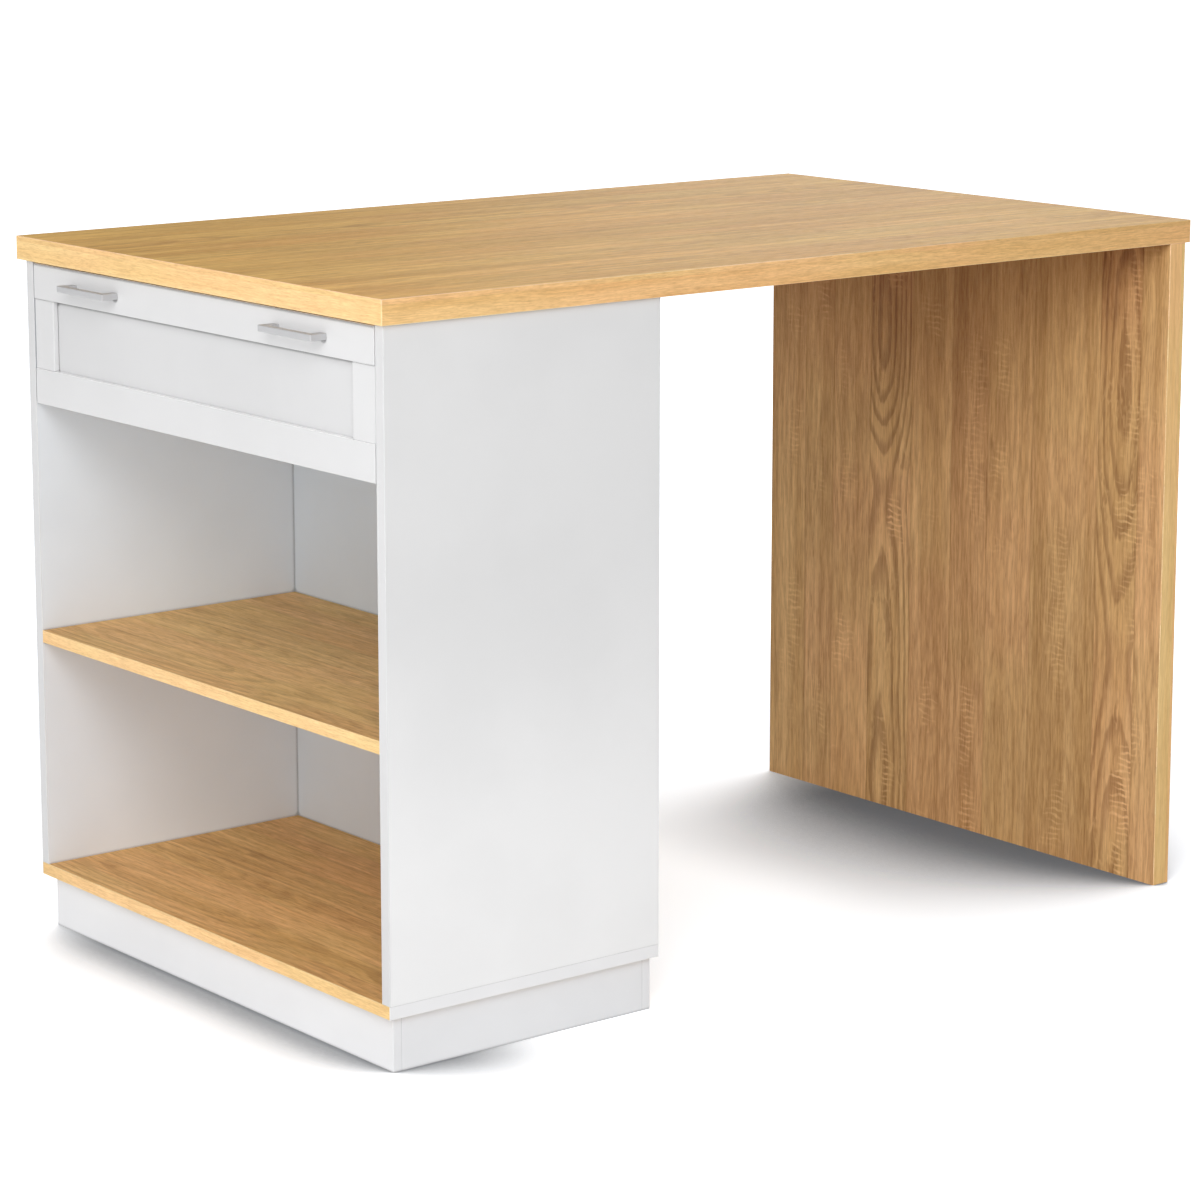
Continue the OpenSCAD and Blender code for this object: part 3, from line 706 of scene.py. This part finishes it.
@dataclass(frozen=True)
class WhiteLaminate(Finish):
    """A matt white pressed or foiled board.

    Attributes:
        painted_crease_shade: How much painted shade darkens it in a narrow corner.
        painted_shade_tilt: What is added to the normal to find a corner's openness for that painted
            shade.
        painted_top_light: How much painted light lightens its upturned faces.
        outer: The colour further out than outer_from, or None for one colour all over; where set,
            the colour within is a lighter, cooler copy, painted light in the bays.
        painted_foot_light: How much painted light lightens that colour towards the floor.
    """

    colour: Colour
    pebble: float = 1100.0
    painted_crease_shade: float = 0.45
    painted_shade_tilt: Direction = (0.0, 0.0, 0.0)
    painted_top_light: float = 0.0
    outer: Colour | None = None
    painted_foot_light: float = 0.0
    outer_from: float = 0.0
    _: KW_ONLY
    roughness: float = 0.42
    rougher: Limits = (-0.05, 0.05)
    specular: float = 0.4
    relief: tuple[float, float] = (0.10, 0.03 * MM)

    def paint(self, graph: Graph) -> Painted:
        """Draws the board's surface, with painted shade in narrow corners and painted light on
        upturned faces.

        Args:
            graph: The material's graph.

        Returns:
            The colour, where it is rougher, and its height.
        """
        place = graph.node("TexCoord").outputs["Object"]
        skin = graph.effect("pressed_skin", Vector=place, Pebble=self.pebble)
        normal = graph.node("NewGeometry").outputs["Normal"]
        _, aside, upright = graph.parts(normal)
        # Painted shade: darker where the board is shut in, as in a narrow corner.
        painted_shade_facing = graph.vector_math("ADD", normal, self.painted_shade_tilt)
        depth = graph.effect("painted_shade", Normal=painted_shade_facing)["Depth"]
        # Painted light: upturned faces are lighter and take less of the painted shade.
        upward = graph.remap(upright, *UPTURNED, 0.0, self.painted_top_light)
        free = graph.math("MULTIPLY_ADD", upward, PAINTED_SHADE_BY_LIFT, 1.0, clamp=True)
        # Where painted light is set, faces that look aside get less of the painted shade.
        if self.painted_top_light > 0:
            free = graph.product(free, graph.remap(graph.math("ABSOLUTE", aside), *SIDEWAYS))
        shaded = graph.product(depth, free)
        tone = graph.remap(skin["Tone"], *CLOUD, *CLOUD_TONES)
        # The random tone, times the painted shade and the painted light.
        keep = graph.product(tone, graph.weigh(1.0, (shaded, -self.painted_crease_shade), (upward, 1.0)))
        return graph.tinted(self.ground(graph, place), keep), skin["Tone"], skin["Height"]

    def ground(self, graph: Graph, place: Socket) -> Feed:
        """The board's colour: even, or a lighter, cooler copy on its inner side as painted light in
        the bays, and another one outside that takes painted light towards the floor.

        Args:
            graph: The material's graph.
            place: The place on the board.

        Returns:
            The colour.
        """
        if self.outer is None:
            return self.colour
        # Painted light: the inner faces take the lighter, cooler colour, and the outer one lightens
        # towards the floor.
        _, across, height = graph.parts(place)
        outside = graph.math("GREATER_THAN", graph.math("ABSOLUTE", across), self.outer_from)
        lighter = graph.remap(height, *PAINTED_FOOT_LIGHT_HEIGHTS, 1.0, 1.0 + self.painted_foot_light)
        return graph.mix(outside, self.colour, graph.tinted(self.outer, lighter))


DULL_SHARE = 0.86


@dataclass(frozen=True)
class Metal(Finish):
    """A drawn, rolled, plated or cast metal."""

    colour: Colour
    along: Axis = Axis.X
    _: KW_ONLY
    roughness: float = 0.36
    rougher: Limits = (-0.06, 0.06)
    metallic: float = 1.0
    relief: tuple[float, float] = (0.075, 0.02 * MM)

    def paint(self, graph: Graph) -> Painted:
        """Draws the metal with its hairlines.

        Args:
            graph: The material's graph.

        Returns:
            The colour, where it is rougher, and its height.
        """
        marks = graph.effect("drawn_lines", Vector=turned(graph, self.along))
        dull = tuple(DULL_SHARE * part for part in self.colour)
        return graph.mix(marks["Cloud"], dull, self.colour), marks["Lines"], marks["Lines"]


FIBRE_SHARE = 0.7


@dataclass(frozen=True)
class PlainTimber(Finish):
    """Bare wood of dowels and glue blocks."""

    along: Axis
    pale: Colour
    brown: Colour
    _: KW_ONLY
    roughness: float = 0.7
    relief: tuple[float, float] = (0.4, 0.1 * MM)

    def paint(self, graph: Graph) -> Painted:
        """Draws the wood with its fibres.

        Args:
            graph: The material's graph.

        Returns:
            The colour, where it is rougher, and its height.
        """
        fibres = graph.effect("wood_fibre", Vector=turned(graph, self.along))["Fibres"]
        colour = graph.mix(graph.product(fibres, FIBRE_SHARE), self.pale, self.brown)
        return colour, fibres, fibres


def screen(red: int, green: int, blue: int) -> Colour:
    """A colour as a screen shows it, 0 to 255, in linear numbers by the sRGB curve."""
    shares = (part / 255 for part in (red, green, blue))
    return tuple(s / 12.92 if s <= 0.04045 else ((s + 0.055) / 1.055) ** 2.4 for s in shares)


WORKTOP_OAK = OakPrint("worktop_oak", "oak_worktop", Axis.X, Axis.Y, screen(236, 189, 104),
                       screen(219, 167, 84), screen(167, 117, 56), rose=0.04, saw=0.2)
SIDE_BAND_OAK = OakPrint("side_band_oak", "oak_edge", Axis.X, Axis.Z, screen(238, 196, 136),
                         screen(226, 180, 118), screen(190, 142, 84), plank_contrast=0.04,
                         rose=0.05, grain=0.20, figure=0.2, waver=0.003, fineness=2.0)
# A lighter copy of the band print for the worktop's ends and the front edges of the shelf and
# bottom board: painted light.
END_BAND_OAK_PAINTED_LIGHT = OakPrint("end_band_oak_painted_light", "oak_edge", Axis.Y, Axis.Z, screen(248, 212, 152),
                        screen(240, 199, 138), screen(200, 152, 92), plank_contrast=0.04, rose=0.05,
                        grain=0.17, figure=0.2, waver=0.003, fineness=2.0)
UPRIGHT_BAND_OAK = OakPrint("upright_band_oak", "oak_edge", Axis.Z, Axis.X, screen(242, 204, 142),
                            screen(230, 187, 122), screen(190, 142, 84), plank_contrast=0.06,
                            rose=0.08, grain=0.12, figure=0.2, waver=0.002, fineness=1.2)
# The leg panel's print, with painted shade that darkens it under the worktop.
LEG_OAK = OakPrint("leg_oak", "oak_leg", Axis.Z, Axis.Y, screen(218, 177, 124),
                   screen(197, 155, 103), screen(130, 88, 52), plank_width=0.085, start=0.68,
                   margin=-0.361, plank_contrast=0.20, rose=0.05, grain=0.24, figure=0.5, saw=1.0,
                   painted_shade=0.65)
BOARD_OAK = OakPrint("board_oak", "oak_board", Axis.Y, Axis.X, screen(232, 190, 126),
                     screen(214, 169, 106), screen(160, 114, 64), rose=0.05, saw=0.2)
# A lighter oak on the rounded arrises of the oak bands: a painted highlight along the edges.
ARRIS_OAK_PAINTED_HIGHLIGHT = OakPrint("arris_oak_painted_highlight", "oak_edge", Axis.X, Axis.Z, screen(247, 218, 168),
                     screen(240, 203, 145), screen(214, 172, 112), grain=0.10, figure=0.0)
WHITE_BOARD = WhiteLaminate("white_laminate", "white_board", (0.81, 0.815, 0.83))
# The side panels: a lighter, cooler white on their inner faces, and an outer white that lightens
# towards the floor; both painted light.
WHITE_SIDE_PAINTED_LIGHT = WhiteLaminate("white_side_laminate_painted_light", "white_board", (0.82, 0.86, 0.905),
                           outer=(0.735, 0.735, 0.737), painted_foot_light=0.22, outer_from=0.382)
# Two copies of one white edge band: a darker one on the side panels' front edges, painted shade,
# and a lighter one on the bottom board's ends by the floor, painted light.
WHITE_EDGE_PAINTED_SHADE = WhiteLaminate("white_edge_band_painted_shade", "white_edge", (0.67, 0.67, 0.675), 700.0,
                           roughness=0.38)
WHITE_SILL_PAINTED_LIGHT = WhiteLaminate("white_sill_band_painted_light", "white_edge", (0.86, 0.86, 0.87), 700.0,
                           roughness=0.38)
# The drawer front's rails and stiles: painted shade in corners, as under the top rail, and painted
# light on upturned ledges.
WHITE_FRONT = WhiteLaminate("white_front_foil", "white_front", (0.70, 0.70, 0.705), 800.0,
                            painted_crease_shade=0.60, painted_shade_tilt=(0.0, 0.0, 0.9), painted_top_light=0.34, roughness=0.36)
# A darker copy of the front's foil for the recessed panel: painted shade of the recess.
WHITE_PANEL_PAINTED_SHADE = replace(WHITE_FRONT, name="white_panel_foil_painted_shade", colour=(0.655, 0.655, 0.66))
WHITE_DRAWER = WhiteLaminate("white_drawer_board", "white_drawer", (0.76, 0.76, 0.76),
                             roughness=0.5)
WHITE_BACK = WhiteLaminate("white_hardboard", "white_back", (0.70, 0.75, 0.80), 500.0,
                           roughness=0.5)
HANDLE_METAL = Metal("satin_handle_metal", "handle_metal", (0.53, 0.53, 0.54), Axis.Y,
                     roughness=0.50, metallic=0.4)
RUNNER_STEEL = Metal("rolled_runner_steel", "runner_steel", (0.66, 0.67, 0.68), roughness=0.30,
                     relief=(0.15, 0.02 * MM))
CAGE_STEEL = Metal("pressed_cage_steel", "cage_steel", (0.62, 0.62, 0.60))
BALL_STEEL = Metal("polished_ball_steel", "ball_steel", (0.80, 0.80, 0.80), roughness=0.12,
                   relief=(0.03, 0.02 * MM))
ZINC_STEEL = Metal("zinc_plated_steel", "zinc_steel", (0.70, 0.70, 0.66))
CAST_ZINC = Metal("cast_zinc", "cam_zinc", (0.58, 0.58, 0.60), Axis.Z, roughness=0.45)
BEECH_UPRIGHT = PlainTimber("beech_dowel", "raw_wood", Axis.Y, screen(222, 188, 146),
                            screen(196, 156, 110))
PINE_BLOCK = PlainTimber("pine_block", "raw_wood", Axis.Z, screen(226, 194, 150),
                         screen(196, 152, 100))


# ---- Meshes ----

ARRIS_STEPS = 3
ROUND_PROFILE = 0.5
SHARP_ANGLE = math.radians(40)
SAME_LEVEL = 1e-7


def put_in_scene(name: str, data: bpy.types.ID) -> bpy.types.Object:
    """Makes an object and links it to the scene.

    Args:
        name: Its name.
        data: Its mesh, lamp or camera.

    Returns:
        The object.
    """
    made = bpy.data.objects.new(name, data)
    bpy.context.scene.collection.objects.link(made)
    return made


def on_level(edge: bmesh.types.BMEdge, axis: Axis, level: float) -> bool:
    """Whether an edge lies in the plane at a level of an axis."""
    return all(abs(corner.co[axis.value] - level) < SAME_LEVEL for corner in edge.verts)


def round_edges(mesh: Mesh, edges: list[bmesh.types.BMEdge], radius: float
                ) -> list[bmesh.types.BMFace]:
    """Rounds edges of a mesh by a radius and returns the rounded faces."""
    return bmesh.ops.bevel(mesh, geom=edges, offset=radius, segments=ARRIS_STEPS,
                           profile=ROUND_PROFILE, affect="EDGES", clamp_overlap=True)["faces"]


def add_eased_box(mesh: Mesh, span: Span, radius: float,
                  outer: tuple[Axis, Side] | None = None) -> None:
    """Adds a box whose edges are rounded, and marks the rounded faces as its arris.

    Args:
        mesh: The mesh that takes the box.
        span: The box's lowest and highest corners.
        radius: The edges' radius.
        outer: The side whose edges are rounded, or None for all edges.
    """
    low, high = span
    corners = bmesh.ops.create_cube(mesh, size=1.0)["verts"]
    for corner in corners:
        for axis in Axis:
            at_high = corner.co[axis.value] > 0
            corner.co[axis.value] = high[axis.value] if at_high else low[axis.value]
    edges = {edge for corner in corners for edge in corner.link_edges}
    if outer:
        axis, side = outer
        level = high[axis.value] if side is Side.HIGH else low[axis.value]
        edges = {edge for edge in edges if on_level(edge, axis, level)}
    for face in round_edges(mesh, list(edges), radius):
        face.material_index = 1


@dataclass
class SubAssembly:
    """A group of pieces that is built and dressed together."""

    band_thick: float = 1.0 * MM
    band_radius: float = 0.8 * MM
    board_radius: float = 0.8 * MM

    def dress(self, finish: Finish, *nodes: str) -> None:
        """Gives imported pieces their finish.

        Args:
            finish: The finish.
            *nodes: The pieces' nodes.
        """
        for node in nodes:
            data = frame["nodes"][node].data
            data.materials.clear()
            data.materials.append(finish.build())
            LOG.info("%s: packed mesh, %s", node, finish.name)

    def stand_in(self, node: str, mesh: Mesh, face: Finish, arris: Finish) -> None:
        """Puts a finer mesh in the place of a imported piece, on the same body.

        Args:
            node: The node that the mesh stands for.
            mesh: The mesh, in the frame, which is freed.
            face: The finish of its flat faces.
            arris: The finish of its smooth arrises.
        """
        bmesh.ops.recalc_face_normals(mesh, faces=mesh.faces)
        data = bpy.data.meshes.new(node + "_eased")
        mesh.to_mesh(data)
        mesh.free()
        for finish in (face, arris):
            data.materials.append(finish.build())
        data.shade_smooth()
        data.set_sharp_from_angle(angle=SHARP_ANGLE)
        made = put_in_scene(data.name, data)
        normals = made.modifiers.new("even_normals", "WEIGHTED_NORMAL")
        normals.keep_sharp = True
        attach(made, body_of(frame["nodes"][node])[0])
        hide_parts(node)
        LOG.info("%s: %d faces, %s", made.name, len(data.polygons), face.name)

    def bands(self, node: str, across: Axis, sides: tuple[Side, ...], face: Finish,
              arris: Finish) -> None:
        """Builds edge bands on one or both ends of a node's span, eased on their outer side.

        Args:
            node: The node that holds the bands.
            across: The axis square to the bands.
            sides: The ends that carry a band.
            face: The finish of their faces.
            arris: The finish of their arrises.
        """
        low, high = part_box(node)
        mesh = bmesh.new()
        for side in sides:
            start, end = low.copy(), high.copy()
            if side is Side.LOW:
                end[across.value] = low[across.value] + self.band_thick
            else:
                start[across.value] = high[across.value] - self.band_thick
            add_eased_box(mesh, (start, end), self.band_radius, (across, side))
        self.stand_in(node, mesh, face, arris)

    def ease(self, finish: Finish, *nodes: str) -> None:
        """Rebuilds plain boards with rounded edges.

        Args:
            finish: Their finish.
            *nodes: The boards' nodes.
        """
        for node in nodes:
            mesh = bmesh.new()
            add_eased_box(mesh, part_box(node), self.board_radius)
            self.stand_in(node, mesh, finish, finish)


@dataclass
class Worktop(SubAssembly):
    """The worktop board and its four edge bands."""

    def build(self) -> None:
        """Builds the bands and dresses the board."""
        self.dress(WORKTOP_OAK, "worktop")
        self.bands("worktop_end_bands", Axis.X, BOTH, END_BAND_OAK_PAINTED_LIGHT, ARRIS_OAK_PAINTED_HIGHLIGHT)
        self.bands("worktop_side_bands", Axis.Y, BOTH, SIDE_BAND_OAK, ARRIS_OAK_PAINTED_HIGHLIGHT)


@dataclass
class LegPanel(SubAssembly):
    """The leg panel, its bands and the steel angle that ties it to the worktop."""

    def build(self) -> None:
        """Builds the bands and dresses the rest."""
        self.dress(LEG_OAK, "leg_panel")
        self.bands("leg_edge_bands", Axis.Y, BOTH, UPRIGHT_BAND_OAK, ARRIS_OAK_PAINTED_HIGHLIGHT)
        self.dress(ZINC_STEEL, "leg_angle", "leg_angle_screws")


@dataclass
class Cabinet(SubAssembly):
    """The cabinet's boards, with their bands and knock-down fittings."""

    band_radius: float = 0.7 * MM

    def build(self) -> None:
        """Builds the bands and dresses the boards and fittings."""
        self.dress(WHITE_SIDE_PAINTED_LIGHT, "left_side_panel", "right_side_panel")
        self.dress(WHITE_BOARD, "front_stretcher", "rear_stretcher")
        self.dress(WHITE_BACK, "back_panel")
        self.dress(BOARD_OAK, "bottom_board", "middle_shelf")
        self.side_bands()
        for node in ("bottom_edge_band", "shelf_edge_band"):
            self.bands(node, Axis.X, (Side.LOW,), END_BAND_OAK_PAINTED_LIGHT, ARRIS_OAK_PAINTED_HIGHLIGHT)
        self.bands("bottom_end_bands", Axis.Y, BOTH, WHITE_SILL_PAINTED_LIGHT, WHITE_SILL_PAINTED_LIGHT)
        self.dress(BEECH_UPRIGHT, "carcass_dowels")
        self.dress(CAST_ZINC, "cam_locks")
        self.dress(ZINC_STEEL, "cam_bolts", "carcass_screws", "worktop_screws")

    def side_bands(self) -> None:
        """Builds the two upright bands on the side panels' front edges."""
        band_low, band_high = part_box("side_edge_bands")
        mesh = bmesh.new()
        for panel in ("left_side_panel", "right_side_panel"):
            low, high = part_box(panel)
            start = Vector((band_low.x, low.y, band_low.z))
            end = Vector((band_high.x, high.y, band_high.z))
            add_eased_box(mesh, (start, end), self.band_radius, (Axis.X, Side.LOW))
        self.stand_in("side_edge_bands", mesh, WHITE_EDGE_PAINTED_SHADE, WHITE_EDGE_PAINTED_SHADE)


@dataclass
class Plinth(SubAssembly):
    """The plinth's four boards, corner blocks and screws."""

    board_radius: float = 0.6 * MM

    def build(self) -> None:
        """Builds the boards and dresses the blocks and screws."""
        self.ease(WHITE_BOARD, "plinth_front_board", "plinth_rear_board", "plinth_left_board",
                  "plinth_right_board")
        self.dress(PINE_BLOCK, "plinth_blocks")
        self.dress(ZINC_STEEL, "plinth_screws")


@dataclass
class Runners(SubAssembly):
    """The two ball runners with their cages, balls and screws."""

    def build(self) -> None:
        """Dresses the runners."""
        for side in ("left", "right"):
            self.dress(RUNNER_STEEL, f"runner_{side}_outer", f"runner_{side}_inner")
            self.dress(CAGE_STEEL, f"ball_cage_{side}")
        self.dress(BALL_STEEL, "runner_balls")
        self.dress(ZINC_STEEL, "runner_outer_screws", "runner_inner_screws")


@dataclass
class Drawer(SubAssembly):
    """The drawer's framed front and its box."""

    def build(self) -> None:
        """Builds the front's frame and dresses the panel, the box and the screws."""
        self.ease(WHITE_FRONT, "drawer_top_rail", "drawer_bottom_rail", "drawer_left_stile",
                  "drawer_right_stile")
        self.dress(WHITE_PANEL_PAINTED_SHADE, "drawer_front_panel")
        self.dress(WHITE_DRAWER, "drawer_inner_front", "drawer_left_side", "drawer_right_side",
                   "drawer_back")
        self.dress(WHITE_BACK, "drawer_bottom")
        self.dress(ZINC_STEEL, "drawer_box_screws", "drawer_front_screws")


@dataclass
class Handles(SubAssembly):
    """The two bar handles and their screws."""

    bar: float = 8.0 * MM
    post: float = 12.0 * MM
    radius: float = 0.9 * MM

    def build(self) -> None:
        """Builds both handles and dresses their screws."""
        for node in ("left_handle", "right_handle"):
            self.handle(node)
        self.dress(ZINC_STEEL, "handle_screws")

    def handle(self, node: str) -> None:
        """Builds one handle: a square bar on two posts, cut from one piece and tumbled smooth.

        Args:
            node: The handle's node.
        """
        low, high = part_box(node)
        inner = low.x + self.bar
        outline = [(high.x, low.y), (low.x, low.y), (low.x, high.y), (high.x, high.y),
                   (high.x, high.y - self.post), (inner, high.y - self.post),
                   (inner, low.y + self.post), (high.x, low.y + self.post)]
        mesh = bmesh.new()
        base = mesh.faces.new([mesh.verts.new((x, y, low.z)) for x, y in outline])
        raised = bmesh.ops.extrude_face_region(mesh, geom=[base])["geom"]
        for corner in raised:
            if isinstance(corner, bmesh.types.BMVert):
                corner.co.z = high.z
        free = [edge for edge in mesh.edges if not on_level(edge, Axis.X, high.x)]
        round_edges(mesh, free, self.radius)
        self.stand_in(node, mesh, HANDLE_METAL, HANDLE_METAL)


# ---- Studio ----

MIDDLE: Place = (0.0, 0.0, 0.5)


def aimed(name: str, data: bpy.types.ID, place: Place, ahead: Vector) -> bpy.types.Object:
    """Puts a lamp or a camera at a place and turns it.

    Args:
        name: The object's name.
        data: The lamp or the camera.
        place: Where it stands.
        ahead: The direction in which it looks.

    Returns:
        The object.
    """
    made = put_in_scene(name, data)
    made.location = place
    made.rotation_mode = "QUATERNION"
    made.rotation_quaternion = ahead.to_track_quat("-Z", "Y")
    return made


@dataclass(frozen=True)
class Lamp:
    """A soft box that is aimed at a point."""

    name: str
    place: Place
    aim: Place
    size: float
    watts: float

    def build(self) -> None:
        """Hangs the lamp."""
        data = bpy.data.lights.new(self.name, "AREA")
        data.shape = "DISK"
        data.size = self.size
        data.energy = self.watts
        aimed(self.name, data, self.place, Vector(self.aim) - Vector(self.place))


@dataclass(frozen=True)
class Studio:
    """A pale floor, an even white surround and the lamps.

    Attributes:
        floor_tone: The floor's colour for all light that falls on it.
        floor_seen, floor_shade: What shows by the leg panel, in light and in shade.
        floor_plain, plain_shade: The same by the cabinet.
        leg_side: Where along the unit the cabinet's colours end and the leg panel's begin.
        near_open, wide_open: The openness at which each shade begins and is full.
        bare_middle, bare_edge: The place with no shade under the worktop, and its half width.
        behind, white: Where the shade ends at the rear, and where the floor turns plain white.
    """

    floor_half: float = 30.0
    floor_cells: int = 8
    floor_tone: float = 0.94
    floor_seen: Colour = (1.0, 1.08, 1.18)
    floor_plain: Colour = (1.05, 1.06, 1.08)
    plain_shade: Colour = (0.25, 0.26, 0.275)
    floor_shade: Colour = (0.22, 0.27, 0.34)
    floor_fill: float = 0.5
    leg_side: Limits = (-0.4, 0.0)
    cabinet_reach: float = 0.34
    leg_reach: float = 0.60
    wide_reach: float = 1.0
    near_open: Limits = (1.02, 0.52)
    wide_open: Limits = (0.82, 0.42)
    bare_middle: float = -0.1
    bare_edge: Limits = (0.25, 0.45)
    behind: Limits = (0.56, 0.22)
    white: Limits = (1.1, 2.2)
    shade_samples: int = 32
    surround: float = 0.385
    lamps: tuple[Lamp, ...] = (
        Lamp("high_left_softbox", (-3.2, -3.4, 3.6), MIDDLE, 2.6, 98.0),
        Lamp("front_softbox", (-4.5, -0.8, 1.2), MIDDLE, 2.4, 32.0),
        Lamp("high_front_softbox", (-4.0, -0.6, 3.2), (-0.4, 0.0, 0.4), 2.4, 22.0),
        Lamp("low_left_softbox", (-3.0, -3.9, 0.9), MIDDLE, 2.0, 41.0),
        Lamp("far_right_softbox", (4.4, 1.2, 2.0), MIDDLE, 2.4, 30.0),
        Lamp("back_softbox", (3.4, 3.2, 2.6), MIDDLE, 2.4, 36.0),
    )

    def build(self) -> None:
        """Builds the floor, the surround and the lamps."""
        self.floor()
        self.world()
        for lamp in self.lamps:
            lamp.build()

    def shade(self, graph: Graph, place: Socket, by_leg: Socket) -> Socket:
        """How much of the contact shade lies on a place of the floor.

        Args:
            graph: The floor's graph.
            place: The place on the floor.
            by_leg: 0 at the cabinet, 1 at the leg panel.

        Returns:
            A value from 0 to 1, which stays 0 by the cabinet's rear half.
        """
        along, across, _ = graph.parts(place)
        reach = graph.spread(by_leg, self.cabinet_reach, self.leg_reach)
        near, wide = (graph.remap(graph.openness(far, self.shade_samples), *limits) for far, limits
                      in ((reach, self.near_open), (self.wide_reach, self.wide_open)))
        aside = graph.math("ABSOLUTE", graph.math("SUBTRACT", along, self.bare_middle))
        bare = graph.remap(aside, *self.bare_edge)
        where = graph.product(bare, graph.remap(across, *self.behind))
        return graph.product(where, graph.product(near, wide))

    def show(self, graph: Graph, shown: Node) -> None:
        """Fills the shader of the floor that shows.

        Args:
            graph: The floor's graph.
            shown: The Principled BSDF for what the camera sees.
        """
        place = graph.node("TexCoord").outputs["Object"]
        by_leg = graph.remap(graph.parts(place)[0], *self.leg_side)
        shade = self.shade(graph, place, by_leg)
        away = graph.node("VectorMath", place, operation="LENGTH")
        lit = graph.mix(by_leg, self.floor_plain, self.floor_seen)
        dark = graph.mix(by_leg, self.plain_shade, self.floor_shade)
        fill = graph.mix(shade, (self.floor_fill,) * 3, BLACK)
        far = graph.remap(away.outputs["Value"], *self.white)
        graph.put(shown.inputs["Base Color"], graph.mix(shade, lit, dark))
        graph.put(shown.inputs["Emission Color"], graph.mix(far, fill, WHITE))
        shown.inputs["Emission Strength"].default_value = 1.0

    def floor(self) -> None:
        """Builds the floor, which shows white and keeps the object's shadow."""
        mesh = bmesh.new()
        bmesh.ops.create_grid(mesh, x_segments=self.floor_cells, y_segments=self.floor_cells,
                              size=self.floor_half)
        data = bpy.data.meshes.new("floor")
        mesh.to_mesh(data)
        mesh.free()
        floor = put_in_scene("floor", data)
        graph, plain = open_material("floor_paint")
        shown = graph.node("BsdfPrincipled")
        graph.put(plain.inputs["Base Color"], (self.floor_tone,) * 3)
        self.show(graph, shown)
        for shader in (plain, shown):
            shader.inputs["Roughness"].default_value = 1.0
            shader.inputs["Specular IOR Level"].default_value = 0.0
        rays = graph.node("LightPath").outputs
        seen = graph.math("ADD", rays["Is Camera Ray"], rays["Is Glossy Ray"], clamp=True)
        seen = graph.math("ADD", seen, rays["Is Transmission Ray"], clamp=True)
        both = graph.node("MixShader", seen, plain.outputs[0], shown.outputs[0])
        graph.put(graph.tree.nodes["Material Output"].inputs["Surface"], both.outputs[0])
        data.materials.append(bpy.data.materials["floor_paint"])

    def world(self) -> None:
        """Builds the surround: even light, and plain white where it is seen."""
        world = bpy.data.worlds.new("surround")
        bpy.context.scene.world = world
        world.use_nodes = True
        graph = Graph(world.node_tree)
        back = world.node_tree.nodes["Background"]
        back.inputs["Color"].default_value = (*WHITE, 1.0)
        rays = graph.node("LightPath").outputs
        lit = graph.spread(rays["Is Camera Ray"], self.surround, 1.0)
        graph.put(back.inputs["Strength"], lit)


@dataclass(frozen=True)
class PhotoCamera:
    """The camera where the photograph's stood, worked out from the unit's corners."""

    place: Place = (-3.0630, -3.8320, 1.4482)
    azimuth: float = -38.5
    elevation: float = 10.51
    lens: float = 114.66
    shift: float = -0.08
    sensor: float = 36.0
    clip: Limits = (0.05, 200.0)

    def build(self) -> None:
        """Sets the camera up and makes it the scene's."""
        data = bpy.data.cameras.new("photo_camera")
        data.sensor_width = self.sensor
        data.lens = self.lens
        data.shift_y = self.shift
        data.clip_start, data.clip_end = self.clip
        turn, tilt = math.radians(self.azimuth), math.radians(self.elevation)
        ahead = Vector((-math.sin(turn) * math.cos(tilt), math.cos(turn) * math.cos(tilt),
                        -math.sin(tilt)))
        bpy.context.scene.camera = aimed("photo_camera", data, self.place, ahead)


def main() -> None:
    """Builds and dresses every sub-assembly, then the studio."""
    logging.basicConfig(level=logging.INFO, format="%(name)s: %(message)s")
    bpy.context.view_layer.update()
    bpy.context.scene.view_settings.view_transform = "Standard"
    Effects().build()
    for part in (Worktop, LegPanel, Cabinet, Plinth, Runners, Drawer, Handles):
        part().build()
    Studio().build()
    PhotoCamera().build()


if __name__ == "__main__":
    main()
